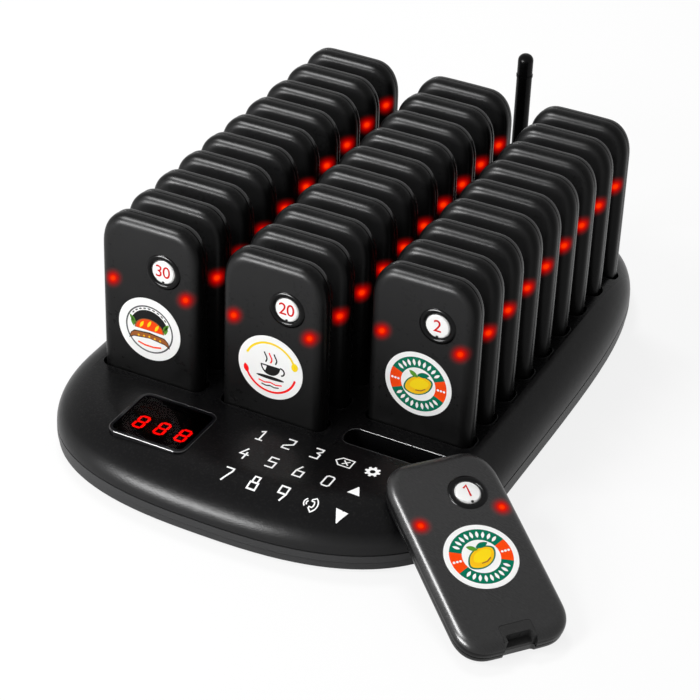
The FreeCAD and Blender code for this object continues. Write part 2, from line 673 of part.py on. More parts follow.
def lower_tray():
    """Bottom shell: side band with its groove, ledge and tongue under the cover, and posts."""
    groove_low, groove_top = TRAY_GROOVE
    body = fused(outline_prism(TRAY_TUCK, FOOT_HEIGHT, groove_low), [
        outline_prism(GROOVE_DEPTH, groove_low, groove_top),
        outline_prism(0.0, groove_top, TRAY_TOP),
        outline_prism(TRAY_TONGUE_INSET, TRAY_TOP, TRAY_TONGUE_TOP),
    ])
    ledge_low = TRAY_TOP - TRAY_LEDGE
    tongue_inside = TRAY_TONGUE_INSET + TRAY_TONGUE_WALL
    body = body.cut([
        outline_prism(TRAY_WALL + GROOVE_DEPTH, FLOOR_TOP, ledge_low),
        outline_prism(tongue_inside, ledge_low, TRAY_TONGUE_TOP),
        box_between((-PORT_BAY_WIDTH / 2 - 2 * COVER_WALL, PANEL_INSIDE_Y - COVER_WALL, TRAY_TOP),
                    (PORT_BAY_WIDTH / 2 + 2 * COVER_WALL, REAR_EDGE, TRAY_TONGUE_TOP)),
    ])
    posts = [post(BASE_POST_RADIUS, x, y, FLOOR_TOP, TRAY_TOP) for x, y in base_screw_places()]
    for x, y in charging_board_posts():
        posts.append(post(BASE_POST_RADIUS, x, y, FLOOR_TOP, FLOOR_TOP + BOARD_STANDOFF))
    for x, y in control_board_posts():
        posts.append(post(BASE_POST_RADIUS, x, y, FLOOR_TOP, CONTROL_BOARD_HEIGHT))
    for x, y in rear_board_posts():
        posts.append(post(BASE_POST_RADIUS, x, y, FLOOR_TOP, REAR_BOARD_HEIGHT))
    body = fused(body, posts)
    cuts = []
    for x, y in base_screw_places():
        cuts.append(post(BASE_SCREW_RADIUS + 2 * FIT_GAP, x, y, FOOT_HEIGHT, TRAY_TOP))
        cuts.append(post(BASE_SCREW_HEAD + 2 * FIT_GAP, x, y, FOOT_HEIGHT, screw_head_top()))
    for x, y in foot_places():
        cuts.append(post(FOOT_RADIUS + FOOT_GAP, x, y, FOOT_HEIGHT, FOOT_HEIGHT + FOOT_RECESS))
    return body.cut(cuts)


def screw_head_top():
    """Height of the seat under the tray that the screw heads press on."""
    return FOOT_HEIGHT + BASE_SCREW_HEAD_HEIGHT + FIT_GAP


def charging_board_posts():
    """Posts under the long boards, clear of the screws."""
    places = []
    for column in range(COLUMNS):
        for side in (-1, 1):
            for step in (0.5, 4.5, 8.5):
                places.append((column_x(column) + side * CHARGING_BOARD_WIDTH * 0.4, FIRST_ROW + step * ROW_PITCH))
    return places


def control_board_posts():
    """Posts near the control board's corners, its front ones further in, where the base narrows."""
    back = FIRST_ROW - CONTROL_BOARD_FROM_SLOT[0] - 2 * BASE_POST_RADIUS
    front = FIRST_ROW - CONTROL_BOARD_FROM_SLOT[1] + 2 * BASE_POST_RADIUS
    left = CONTROL_BOARD_X[0] + 2 * BASE_POST_RADIUS
    right = CONTROL_BOARD_X[1] - 2 * BASE_POST_RADIUS
    inward = 2 * BASE_POST_RADIUS
    return [(left, back), (right, back), (left + inward, front), (right - inward, front)]


def rear_board_posts():
    """Posts near the rear board's corners."""
    front = PANEL_INSIDE_Y - REAR_BOARD_DEPTH + BASE_POST_RADIUS
    back = PANEL_INSIDE_Y - 1.5 * BASE_POST_RADIUS
    left = REAR_BOARD_X[0] + BASE_POST_RADIUS
    right = REAR_BOARD_X[1] - BASE_POST_RADIUS
    return [(left, front), (right, front), (left, back), (right, back)]


def module_column(column, skin, trim):
    """Ten slot modules: each is a piece of the deck with a well hanging from it."""
    x = column_x(column)
    deck = skin.common(module_box(column, 0, ROWS - 1))
    wells = [slot_prism(WELL_WALL, WELL_BOTTOM, BASE_TOP, x, row_y(row)).common(trim) for row in range(ROWS)]
    column_body = fused(deck, wells)
    cuts = []
    for row in range(ROWS):
        y = row_y(row)
        cuts.append(slot_prism(0.0, WELL_SEAT, BASE_TOP + 1, x, y))
        cuts.append(block((WELL_WINDOW[0], WELL_WINDOW[1], 2 * WELL_FLOOR), (x, y - POST_FRONT_OFFSET), WELL_BOTTOM))
    column_body = column_body.cut(cuts)
    return [column_body.common(module_box(column, row, row)) for row in range(ROWS)]


def slot_modules():
    """Thirty slot modules, column by column from the left and row by row from the front."""
    skin = pillow(0.0, COVER_BOTTOM, BASE_TOP).cut(inside_of_cover())
    middle_of_skin = pillow(COVER_WALL / 2, COVER_BOTTOM, (CEILING + BASE_TOP) / 2)
    inset = TRAY_TONGUE_INSET + TRAY_TONGUE_WALL + WELL_TO_TONGUE
    trim = fused(middle_of_skin, [outline_prism(inset, FLOOR_TOP, COVER_BOTTOM)])
    modules = []
    for column in range(COLUMNS):
        modules += module_column(column, skin, trim)
    return modules


def charging_boards():
    """One long board under each column."""
    length = (ROWS - 1) * ROW_PITCH + 2 * CHARGING_BOARD_MARGIN
    middle = (row_y(0) + row_y(ROWS - 1)) / 2
    size = (CHARGING_BOARD_WIDTH, length, CHARGING_BOARD_THICKNESS)
    return [block(size, (column_x(column), middle), FLOOR_TOP + BOARD_STANDOFF) for column in range(COLUMNS)]


def charging_contacts():
    """A post with two pins in each slot, standing on the charging board."""
    pieces = []
    tip = PAGER_SEAT + CONTACT_POCKET_TOP - PAD_SIZE[1] - PIN_TO_PAD
    post_top = WELL_SEAT + POST_TOP
    for column in range(COLUMNS):
        for row in range(ROWS):
            middle = (column_x(column), row_y(row) - POST_FRONT_OFFSET)
            pieces.append(block((POST_SIZE[0], POST_SIZE[1], post_top - CHARGING_BOARD_TOP), middle,
                                CHARGING_BOARD_TOP))
            for side in (-1, 1):
                pieces.append(post(PIN_RADIUS, middle[0] + side * PAD_SPACING / 2, middle[1], post_top, tip))
    return pieces


def key_places():
    """Middles of the touch keys, row by row from the back."""
    back = FIRST_ROW - KEYPAD_BACK_FROM_SLOT
    return [(KEYPAD_LEFT + column * KEY_PITCH_X, back - row * KEY_PITCH_Y)
            for row in range(KEY_ROWS) for column in range(KEY_COLUMNS)]


def touch_pillars():
    """Sensing pillars from the control board up to the cover's underside."""
    pillars = []
    for x, y in key_places():
        heights = [pillow_height(x + side, y - PILLAR_RADIUS, COVER_WALL, COVER_BOTTOM, CEILING)
                   for side in (-PILLAR_RADIUS, PILLAR_RADIUS)]
        pillars.append(post(PILLAR_RADIUS, x, y, CONTROL_BOARD_TOP, min(heights) - PILLAR_GAP))
    return pillars


def control_board():
    """Board behind the keypad and the display, with its processor and, below it, the sounder."""
    back = FIRST_ROW - CONTROL_BOARD_FROM_SLOT[0]
    front = FIRST_ROW - CONTROL_BOARD_FROM_SLOT[1]
    board = box_between((CONTROL_BOARD_X[0], front, CONTROL_BOARD_HEIGHT), (CONTROL_BOARD_X[1], back, CONTROL_BOARD_TOP))
    place = (KEYPAD_LEFT + CHIP_PLACE[0], back - CHIP_PLACE[1])
    low = CONTROL_BOARD_HEIGHT - CHIP_SIZE[2]
    chip = block(CHIP_SIZE, place, low)
    sounder = post(SOUNDER_RADIUS, place[0] + KEY_PITCH_X * 2, place[1], CONTROL_BOARD_HEIGHT - SOUNDER_HEIGHT,
                   CONTROL_BOARD_HEIGHT)
    return [board, chip, sounder]


def display_bezel():
    """Raised rim round the display window, with the ledge that the window rests on."""
    centre = (BEZEL_CENTRE_X, BEZEL_CENTRE_Y)
    top = BASE_TOP + BEZEL_PROUD
    rim = rounded_prism(BEZEL_SIZE[0], BEZEL_SIZE[1], BEZEL_CORNER, top - BEZEL_DEPTH, top, centre)
    rim = rim.makeFillet(BEZEL_PROUD * 0.9, edges_at_height(rim, top))
    width, depth, corner = window_outline()
    seat = rounded_prism(width + 2 * FIT_GAP, depth + 2 * FIT_GAP, corner + FIT_GAP, WINDOW_BOTTOM, top, centre)
    through = rounded_prism(width - 2 * BEZEL_LEDGE, depth - 2 * BEZEL_LEDGE, corner - BEZEL_LEDGE,
                            top - BEZEL_DEPTH, top, centre)
    return rim.cut([seat, through])


def window_outline():
    """Width, depth and corner radius of the display window."""
    shrink = 2 * (BEZEL_WALL + FIT_GAP)
    return BEZEL_SIZE[0] - shrink, BEZEL_SIZE[1] - shrink, BEZEL_CORNER - shrink / 2


def display_window():
    """Dark window over the digits."""
    width, depth, corner = window_outline()
    return rounded_prism(width, depth, corner, WINDOW_BOTTOM, WINDOW_TOP, (BEZEL_CENTRE_X, BEZEL_CENTRE_Y))


def bar_outline(length, width):
    """Six-sided outline of a light bar that runs along X."""
    half = length / 2
    point = width / 2
    corners = [(-half, 0), (-half + point, point), (half - point, point),
               (half, 0), (half - point, -point), (-half + point, -point)]
    points = [Vector(x, y, 0) for x, y in corners]
    return Part.Face(Part.makePolygon(points + points[:1]))


def light_bars(grow):
    """The seven bars of each digit, at the top of the display block."""
    bars = []
    half_height = DIGIT_HEIGHT / 2
    half_width = DIGIT_WIDTH / 2
    across = [(0.0, -half_height), (0.0, 0.0), (0.0, half_height)]
    along = [(side * half_width, level * half_height / 2) for side in (-1, 1) for level in (-1, 1)]
    for digit in range(DIGIT_COUNT):
        shift = DIGIT_SHIFT + (digit - (DIGIT_COUNT - 1) / 2) * DIGIT_PITCH
        for places, turn, span in ((across, 0, DIGIT_WIDTH), (along, 90, half_height)):
            for x, y in places:
                bar = bar_outline(span - BAR_WIDTH / 5 + 2 * grow, BAR_WIDTH + 2 * grow)
                bar = bar.extrude(Vector(0, 0, BAR_DEPTH))
                bar.rotate(Vector(0, 0, 0), Vector(0, 0, 1), turn)
                bar.translate(Vector(display_centre()[0] + shift + x, display_centre()[1] + y, DISPLAY_TOP - BAR_DEPTH))
                bars.append(bar)
    return bars


def display_centre():
    """Middle of the display block."""
    return BEZEL_CENTRE_X + DISPLAY_SHIFT[0], BEZEL_CENTRE_Y + DISPLAY_SHIFT[1]


def display_module():
    """Block of three seven-segment digits, and its light bars as separate solids."""
    size = (DISPLAY_SIZE[0], DISPLAY_SIZE[1], DISPLAY_TOP - CONTROL_BOARD_TOP)
    body = block(size, display_centre(), CONTROL_BOARD_TOP).cut(light_bars(0.0))
    return [body] + light_bars(-BAR_GAP)


def rear_board():
    """Board of the rear ports."""
    low = (REAR_BOARD_X[0], PANEL_INSIDE_Y - REAR_BOARD_DEPTH, REAR_BOARD_HEIGHT)
    return box_between(low, (REAR_BOARD_X[1], PANEL_INSIDE_Y - COVER_WALL / 2, REAR_BOARD_TOP))


def radio_module():
    """Shielded transmitter behind the antenna jack."""
    middle = (ANTENNA_X, PANEL_Y - COVER_WALL - JACK_BEHIND + 1 - RADIO_SIZE[1] / 2)
    return block(RADIO_SIZE, middle, REAR_BOARD_TOP)


def dc_inlet():
    """Barrel socket for the power lead, with its centre pin."""
    back = PANEL_Y + 2 * PANEL_GAP
    body = box_between((INLET_X - INLET_SIZE[0] / 2, back - INLET_SIZE[1], PORT_HEIGHT - INLET_SIZE[2] / 2),
                       (INLET_X + INLET_SIZE[0] / 2, back, PORT_HEIGHT + INLET_SIZE[2] / 2))
    bore_end = back - INLET_BORE_DEPTH
    body = body.cut(rod_along_y(INLET_BORE, INLET_X, PORT_HEIGHT, bore_end, back))
    pin = rod_along_y(INLET_PIN_RADIUS, INLET_X, PORT_HEIGHT, bore_end, back - 1)
    return [body, pin]


def power_switch_case():
    """Case of the rocker switch, held in the panel."""
    body = box_between((SWITCH_X - SWITCH_BODY[0] / 2, PANEL_Y - SWITCH_BODY[1], PORT_HEIGHT - SWITCH_BODY[2] / 2),
                       (SWITCH_X + SWITCH_BODY[0] / 2, PANEL_Y, PORT_HEIGHT + SWITCH_BODY[2] / 2))
    front = PANEL_Y + SWITCH_BEZEL[1]
    bezel = box_between((SWITCH_X - SWITCH_BEZEL[0] / 2, PANEL_Y, PORT_HEIGHT - SWITCH_BEZEL[2] / 2),
                        (SWITCH_X + SWITCH_BEZEL[0] / 2, front, PORT_HEIGHT + SWITCH_BEZEL[2] / 2))
    pocket = box_between((SWITCH_X - ROCKER_POCKET[0] / 2, front - ROCKER_POCKET_DEPTH, PORT_HEIGHT - ROCKER_POCKET[1] / 2),
                         (SWITCH_X + ROCKER_POCKET[0] / 2, front, PORT_HEIGHT + ROCKER_POCKET[1] / 2))
    pivot = post(ROCKER_PIN_RADIUS + HINGE_CLEARANCE, SWITCH_X, ROCKER_PIVOT_Y,
                 PORT_HEIGHT - rocker_pin_half() - HINGE_CLEARANCE, PORT_HEIGHT + rocker_pin_half() + HINGE_CLEARANCE)
    return fused(body, [bezel]).cut([pocket, pivot])


def rocker_pin_half():
    """Half the length over the rocker's two pivot pins."""
    return ROCKER_HEIGHT / 2 + ROCKER_PIN_REACH


def power_rocker():
    """Rocker with two facets and a pivot pin at each end, tipped to one side."""
    face = SWITCH_BEZEL[1] + ROCKER_PIVOT_DEPTH + 0.9
    waist = face - ROCKER_HALF_WIDTH * math.tan(math.radians(ROCKER_TILT))
    corners = [(-ROCKER_HALF_WIDTH, face), (-ROCKER_HALF_WIDTH + 0.2, -0.4), (-1.5, -2.0), (1.5, -2.0),
               (ROCKER_HALF_WIDTH - 0.2, -0.4), (ROCKER_HALF_WIDTH, face), (0, waist)]
    low = PORT_HEIGHT - ROCKER_HEIGHT / 2
    points = [Vector(SWITCH_X + x, ROCKER_PIVOT_Y + y, low) for x, y in corners]
    rocker = Part.Face(Part.makePolygon(points + points[:1])).extrude(Vector(0, 0, ROCKER_HEIGHT))
    rocker.rotate(Vector(SWITCH_X, ROCKER_PIVOT_Y, 0), Vector(0, 0, 1), ROCKER_TILT)
    pins = post(ROCKER_PIN_RADIUS, SWITCH_X, ROCKER_PIVOT_Y, PORT_HEIGHT - rocker_pin_half(),
                PORT_HEIGHT + rocker_pin_half())
    return fused(rocker, [pins])


def hex_nut(low, high):
    """Six-sided nut on the antenna jack."""
    radius = NUT_ACROSS_FLATS / 2 / math.cos(math.pi / 6)
    points = []
    for corner in range(7):
        angle = math.pi / 3 * corner
        points.append(Vector(ANTENNA_X + radius * math.cos(angle), low, PORT_HEIGHT + radius * math.sin(angle)))
    nut = Part.Face(Part.makePolygon(points)).extrude(Vector(0, high - low, 0))
    return nut.cut(rod_along_y(JACK_RADIUS + FIT_GAP / 2, ANTENNA_X, PORT_HEIGHT, low - 1, high + 1))


def antenna_connector():
    """Threaded jack through the panel, and its two nuts."""
    jack = rod_along_y(JACK_RADIUS, ANTENNA_X, PORT_HEIGHT, PANEL_INSIDE_Y - JACK_BEHIND + COVER_WALL, PANEL_Y + JACK_AHEAD)
    outer = hex_nut(PANEL_Y, PANEL_Y + NUT_THICKNESS)
    inner = hex_nut(PANEL_INSIDE_Y - NUT_THICKNESS, PANEL_INSIDE_Y)
    return [jack, outer, inner]


def hinge_disc(radius, low_x, high_x):
    """Round end about the antenna's hinge pin."""
    return Part.makeCylinder(radius, high_x - low_x, Vector(low_x, HINGE_Y, PORT_HEIGHT), Vector(1, 0, 0))


def antenna_knuckle():
    """Turning collar with the fork that carries the antenna, and the hinge pin."""
    collar_front = PANEL_Y + NUT_THICKNESS + FIT_GAP
    collar_back = collar_front + COLLAR_LENGTH
    collar = rod_along_y(COLLAR_OUTER, ANTENNA_X, PORT_HEIGHT, collar_front, collar_back)
    web_back = HINGE_Y - CHEEK_RADIUS - 2 * FORK_CLEARANCE
    outer = FORK_GAP / 2 + CHEEK_THICKNESS
    web = box_between((ANTENNA_X - outer, collar_back - 1, PORT_HEIGHT - CHEEK_RADIUS),
                      (ANTENNA_X + outer, web_back, PORT_HEIGHT + CHEEK_RADIUS))
    pieces = [web]
    for side in (-1, 1):
        near = ANTENNA_X + side * FORK_GAP / 2
        far = ANTENNA_X + side * outer
        low, high = min(near, far), max(near, far)
        pieces.append(box_between((low, collar_back - 1, PORT_HEIGHT - CHEEK_RADIUS),
                                  (high, HINGE_Y, PORT_HEIGHT + CHEEK_RADIUS)))
        pieces.append(hinge_disc(CHEEK_RADIUS, low, high))
    fork = fused(collar, pieces)
    bore = rod_along_y(JACK_RADIUS + SWIVEL_CLEARANCE, ANTENNA_X, PORT_HEIGHT, collar_front,
                       PANEL_Y + JACK_AHEAD + 2 * FIT_GAP)
    pin_hole = hinge_disc(HINGE_PIN_RADIUS, ANTENNA_X - outer, ANTENNA_X + outer)
    return [fork.cut([bore, pin_hole]), pin_hole.copy()]


def antenna_rod():
    """Stub antenna with a rounded tip, a ring near it, and the tongue that turns on the pin."""
    half = FORK_GAP / 2 - FORK_CLEARANCE
    start = PORT_HEIGHT + ROD_START
    tip = PORT_HEIGHT + ROD_TIP
    tongue = hinge_disc(CHEEK_RADIUS - FORK_CLEARANCE, ANTENNA_X - half, ANTENNA_X + half)
    neck = box_between((ANTENNA_X - half, HINGE_Y - CHEEK_RADIUS * 0.8, PORT_HEIGHT),
                       (ANTENNA_X + half, HINGE_Y + CHEEK_RADIUS * 0.8, start + 1))
    foot = post(ROD_FOOT_RADIUS, ANTENNA_X, HINGE_Y, start, start + ROD_FOOT_LENGTH)
    taper = Part.makeCone(ROD_FOOT_RADIUS, ROD_RADIUS, 2.0, Vector(ANTENNA_X, HINGE_Y, start + ROD_FOOT_LENGTH))
    mast = post(ROD_RADIUS, ANTENNA_X, HINGE_Y, start + ROD_FOOT_LENGTH, tip)
    mast = mast.makeFillet(ROD_RADIUS * 0.9, edges_at_height(mast, tip))
    ring_low = tip - ROD_RING_FROM_TIP
    ring = post(ROD_RADIUS + ROD_RING_PROUD, ANTENNA_X, HINGE_Y, ring_low, ring_low + ROD_RING_HEIGHT)
    rod = fused(mast, [foot, taper, ring, neck, tongue])
    return rod.cut(hinge_disc(HINGE_PIN_RADIUS + HINGE_CLEARANCE, ANTENNA_X - half - 1, ANTENNA_X + half + 1))


def rubber_feet():
    """Round pads in recesses under the tray."""
    return [post(FOOT_RADIUS, x, y, 0.0, FOOT_HEIGHT + FOOT_RECESS) for x, y in foot_places()]


def tray_screws():
    """The six screws that join the tray and the cover."""
    screws = []
    seat = screw_head_top()
    for x, y in base_screw_places():
        head = post(BASE_SCREW_HEAD, x, y, seat - BASE_SCREW_HEAD_HEIGHT, seat)
        shank = post(BASE_SCREW_RADIUS, x, y, seat, seat + BASE_SCREW_LENGTH)
        screws.append(fused(head, [shank]))
    return screws


# ---------------------------------------------------------------- loose pager's place
def loose_directions():
    """Unit vectors along its lower edge and, level, from that edge towards the base."""
    heading = math.radians(LOOSE_HEADING)
    return Vector(math.cos(heading), math.sin(heading), 0), Vector(-math.sin(heading), math.cos(heading), 0)


def loose_edge_centre():
    """Middle of the rounding along its lower back edge, which stands just off the surface."""
    x = BASE_WIDTH / 2 + LOOSE_FOOT_ASIDE
    return Vector(x, FRONT_EDGE - LOOSE_FOOT_AHEAD, BACK_ROUND + LOOSE_GAP / 2)


def loose_lean():
    """Angle at which the pager's flat back comes to rest on the cover's shoulder."""
    along, inward = loose_directions()
    edge = loose_edge_centre()
    half_span = PAGER_WIDTH / 2 - BACK_ROUND
    steepest = 0.0
    for level in range(4 * SHOULDER_LEVELS + 1):
        turn = math.pi / 2 * level / (4 * SHOULDER_LEVELS)
        side_in, front_in, rear_in = shoulder_insets(0.0, turn)
        height = COVER_BOTTOM + (BASE_TOP - COVER_BOTTOM) * math.sin(turn)
        for step in range(8 * OUTLINE_STEPS):
            x, y = outline_point(2 * math.pi * step / (8 * OUTLINE_STEPS), side_in, front_in, rear_in)
            offset = Vector(x, y, height) - edge
            reach = offset.dot(inward)
            if abs(offset.dot(along)) > half_span or not 0 < reach < PAGER_LENGTH:
                continue
            distance = math.hypot(reach, offset.z)
            angle = math.atan2(offset.z, reach) + math.asin((BACK_ROUND + LOOSE_GAP) / distance)
            steepest = max(steepest, angle)
    return steepest


def loose_placement():
    """Placement that leans a flat-lying pager against the base."""
    along, inward = loose_directions()
    lean = loose_lean()
    up = inward * math.cos(lean) + Vector(0, 0, 1) * math.sin(lean)
    normal = along.cross(up)
    rounding = REAR_STEP + BACK_ROUND
    origin = loose_edge_centre() - up * rounding - normal * (BACK_Z + BACK_ROUND)
    matrix = FreeCAD.Matrix(along.x, up.x, normal.x, origin.x,
                            along.y, up.y, normal.y, origin.y,
                            along.z, up.z, normal.z, origin.z,
                            0, 0, 0, 1)
    return FreeCAD.Placement(matrix)


# ---------------------------------------------------------------- write every piece
def save_base():
    """Write the pieces of the charging base."""
    save("lower_tray", [lower_tray()])
    save("top_cover", [top_cover()])
    save("port_housing", [port_housing()])
    modules = slot_modules()
    open_one = (COLUMNS - 1) * ROWS
    save("slot_module_1", [modules[open_one]])
    save("slot_modules", modules[:open_one] + modules[open_one + 1:])
    save("charging_boards", charging_boards())
    save("charging_contacts", charging_contacts())
    save("control_board", control_board() + touch_pillars())
    save("display_module", display_module())
    save("display_window", [display_window()])
    save("display_bezel", [display_bezel()])
    save("rear_board", [rear_board(), radio_module()])
    save("dc_inlet", dc_inlet())
    save("power_switch_case", [power_switch_case()])
    save("power_rocker", [power_rocker()])
    save("antenna_connector", antenna_connector())
    save("antenna_knuckle", antenna_knuckle())
    save("antenna_rod", [antenna_rod()])
    save("rubber_feet", rubber_feet())
    save("tray_screws", tray_screws())


def save_loose_pager():
    """Write each piece of the pager that lies beside the base to a file of its own."""
    placement = loose_placement()
    pieces = {
        "front_shell": [front_shell()],
        "rear_shell": [rear_shell()],
        "button": [number_button()],
        "circuit_board": [pager_board(), board_switch()] + board_lights(),
        "battery": [battery()],
        "motor": [vibration_motor()],
        "contact_block": [contact_block()] + contact_pads(),
        "screws": pager_screws(),
    }
    for name, shapes in pieces.items():
        save("pager_01_" + name, placed(shapes, placement))


def save_docked_pagers():
    """Write the pagers that stand in the slots: right column 2 to 10, middle 11 to 20, left 21 to 30.

    The numbers run to the back in the right column and to the front in the other two. A front
    pager's button has a file of its own.
    """
    populated = fused(pager_board(), [board_switch()] + board_lights())
    button = number_button()
    others = [front_shell(), rear_shell(), populated, battery(), vibration_motor(), contact_block()]
    others += contact_pads() + pager_screws()
    for number in range(2, COLUMNS * ROWS + 1):
        column = COLUMNS - 1 - (number - 1) // ROWS
        step = (number - 1) % ROWS
        row = step if column == COLUMNS - 1 else ROWS - 1 - step
        placement = docked_placement(column, row)
        name = "pager_%02d" % number
        in_front = number in (2, 2 * ROWS, 3 * ROWS)
        if in_front:
            save(name, placed(others, placement))
            save(name + "_button", placed([button], placement))
        else:
            save(name, placed(others + [button], placement))


save_base()
save_loose_pager()
save_docked_pagers()
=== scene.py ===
# %% [markdown]
# # A charging base with thirty guest pagers
# The finished model already exists as plain solids: the black base, the pagers in its slots and
# one pager leaning on its corner. This lesson dresses them. Each step says what the piece or the
# finish is on the real thing, how it could be made in Blender, and why one way was taken.
#
# Lengths on the drawing are in millimetres and Blender's are in metres, so the first helper turns
# one into the other. Every piece is handed to a body of the model, so that it moves with it.

import json
import math

import bmesh
import bpy
from mathutils import Matrix, Vector
from mathutils.bvhtree import BVHTree

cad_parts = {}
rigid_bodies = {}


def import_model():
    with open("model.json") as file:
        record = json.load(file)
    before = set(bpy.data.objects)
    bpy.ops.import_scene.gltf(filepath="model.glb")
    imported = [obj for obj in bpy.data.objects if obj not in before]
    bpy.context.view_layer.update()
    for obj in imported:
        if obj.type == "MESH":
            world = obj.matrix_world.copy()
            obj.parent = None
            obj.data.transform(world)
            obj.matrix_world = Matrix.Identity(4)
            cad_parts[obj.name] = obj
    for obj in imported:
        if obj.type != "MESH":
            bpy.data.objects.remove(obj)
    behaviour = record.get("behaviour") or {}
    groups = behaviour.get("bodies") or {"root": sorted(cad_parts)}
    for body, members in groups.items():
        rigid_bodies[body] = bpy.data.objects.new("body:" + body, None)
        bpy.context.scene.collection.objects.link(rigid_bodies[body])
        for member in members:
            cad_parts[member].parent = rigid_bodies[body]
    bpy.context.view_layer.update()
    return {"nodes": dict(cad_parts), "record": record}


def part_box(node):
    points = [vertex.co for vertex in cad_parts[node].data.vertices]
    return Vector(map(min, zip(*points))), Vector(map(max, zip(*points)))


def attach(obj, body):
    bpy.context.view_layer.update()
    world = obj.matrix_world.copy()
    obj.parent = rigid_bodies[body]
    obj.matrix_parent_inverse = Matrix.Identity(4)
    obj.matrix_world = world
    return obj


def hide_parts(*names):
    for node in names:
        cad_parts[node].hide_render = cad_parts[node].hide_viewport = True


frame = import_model()
NODES = frame["nodes"]

MM = 0.001


def mm(*lengths):
    """A point or a size in millimetres, turned into metres."""
    return Vector([length * MM for length in lengths])


def add_object(name, data, matrix=None):
    """Puts an object into the scene."""
    thing = bpy.data.objects.new(name, data)
    if matrix:
        thing.matrix_world = matrix
    bpy.context.scene.collection.objects.link(thing)
    return thing


# %% [markdown]
# ## Where the camera stands
# A product picture like this one is taken from a few steps away with a long lens, so that the
# columns of pagers keep their size towards the back. A camera can be aimed with a Track To
# constraint, but that leaves out its slight tilt. Here its axes are worked out from three angles,
# which keeps every step visible and gives the same view each time.

# %% Camera
LENS = 121.1
CAMERA_PLACE = mm(436.0, -904.9, 664.7)
CAMERA_TURN = math.radians(26.04)
CAMERA_DOWN = math.radians(33.06)
CAMERA_TILT = math.radians(2.25)

ahead = Vector((-math.sin(CAMERA_TURN) * math.cos(CAMERA_DOWN),
                math.cos(CAMERA_TURN) * math.cos(CAMERA_DOWN),
                -math.sin(CAMERA_DOWN)))
level_right = ahead.cross(Vector((0, 0, 1))).normalized()
level_up = level_right.cross(ahead)
right = level_right * math.cos(CAMERA_TILT) + level_up * math.sin(CAMERA_TILT)
up = right.cross(ahead)
camera_data = bpy.data.cameras.new("camera")
camera_data.lens = LENS
camera_data.sensor_width = 36.0
camera_data.clip_end = 20.0
bpy.context.scene.camera = add_object("camera", camera_data, Matrix.Translation(CAMERA_PLACE) @
                                      Matrix((right, up, -ahead)).transposed().to_4x4())
print("camera looks along", [round(part, 3) for part in ahead])

# %% [markdown]
# ## Where each pager sits
# The same pager appears thirty times. It is easiest to draw its stickers and numbers once, on a
# pager lying on its back, with X across, Y from its lower end to its top and Z out of its face.
# A matrix for each pager then carries them to its slot, or to the one that leans on the base.
# Copying finished objects by hand would work too, but a change would have to be repeated.

# %% Pager places
PAGER_WIDTH = 53.8
PAGER_LENGTH = 104.0
FACE = 5.6
COLUMN_PITCH = 66.0
ROW_PITCH = 22.4
FIRST_ROW = -90.75
SEAT = 9.5
BASE_TOP = 28.0
LEAN_HEADING = math.radians(50.1)


def slot_of(number):
    """Column from the left and row from the front of a docked pager."""
    column = 2 - (number - 1) // 10
    step = (number - 1) % 10
    return column, step if column == 2 else 9 - step


def docked_matrix(number):
    """Carries a flat-lying pager upright into its slot."""
    column, row = slot_of(number)
    place = mm((column - 1) * COLUMN_PITCH, FIRST_ROW + row * ROW_PITCH, SEAT)
    return Matrix.Translation(place) @ Matrix.Rotation(math.pi / 2, 4, "X")


def reach_along(name, axis):
    """Lowest and highest place of a solid along a direction."""
    places = [vertex.co.dot(axis) for vertex in NODES[name].data.vertices]
    return min(places), max(places)


def leaning_matrix():
    """Reads how the loose pager leans from its solid case, whose largest flat face shows the way out."""
    shell = NODES["pager_01_front_shell"].data
    flat = max((face for face in shell.polygons if face.normal.z > 0.9), key=lambda face: face.area)
    across = Vector((math.cos(LEAN_HEADING), math.sin(LEAN_HEADING), 0))
    along = flat.normal.cross(across).normalized()
    normal = across.cross(along)
    left, right = reach_along("pager_01_front_shell", across)
    lower_end = reach_along("pager_01_front_shell", along)[0]
    button_top = reach_along("pager_01_button", normal)[1]
    origin = across * (left + right) / 2 + along * lower_end + normal * (button_top - (FACE + 0.1) * MM)
    turn = Matrix((across, along, normal)).transposed().to_4x4()
    return Matrix.Translation(origin) @ turn


PLACES = {number: docked_matrix(number) for number in range(2, 31)}
PLACES[1] = leaning_matrix()
lean = math.degrees(math.asin((PLACES[1] @ mm(0, 1000, 0) - PLACES[1] @ mm(0, 0, 0)).z))
print("loose pager leans", round(lean, 2), "degrees, its lower end at", list(PLACES[1] @ mm(0, 0, 0)))

# %% [markdown]
# ## Effects that several finishes share
# Moulded plastic is never one flat colour. Its surface has a fine spark-eroded grain, its tone
# drifts a little from place to place, hands leave it smoother in patches, and dust settles on what
# faces up. Each effect could be rebuilt in every material, but a node group is built once and
# placed with its own values, so that a change reaches all of them.
#
# A few helpers keep the node code short: they add a node, set its inputs, and link what is given
# as a socket.

# %% Node helpers
def set_inputs(tree, node, inputs):
    """Sets a node's inputs by name or number, or links what is given as a socket."""
    for key, value in inputs.items():
        socket = node.inputs[key]
        if isinstance(value, bpy.types.NodeSocket):
            tree.links.new(value, socket)
        else:
            socket.default_value = value


def add_node(tree, kind, inputs=None, **settings):
    """Adds a node and sets its properties and inputs."""
    node = tree.nodes.new(kind)
    for name, value in settings.items():
        setattr(node, name, value)
    set_inputs(tree, node, inputs or {})
    return node


def math_node(tree, operation, *values, clamp=False):
    """Arithmetic on numbers or sockets."""
    node = add_node(tree, "ShaderNodeMath", dict(enumerate(values)), operation=operation, use_clamp=clamp)
    return node.outputs[0]


def map_range(tree, value, low, high, to_low=0.0, to_high=1.0, **settings):
    """Carries a value from one range to another."""
    node = add_node(tree, "ShaderNodeMapRange",
                    {"Value": value, "From Min": low, "From Max": high, "To Min": to_low, "To Max": to_high},
                    **settings)
    return node.outputs[0]


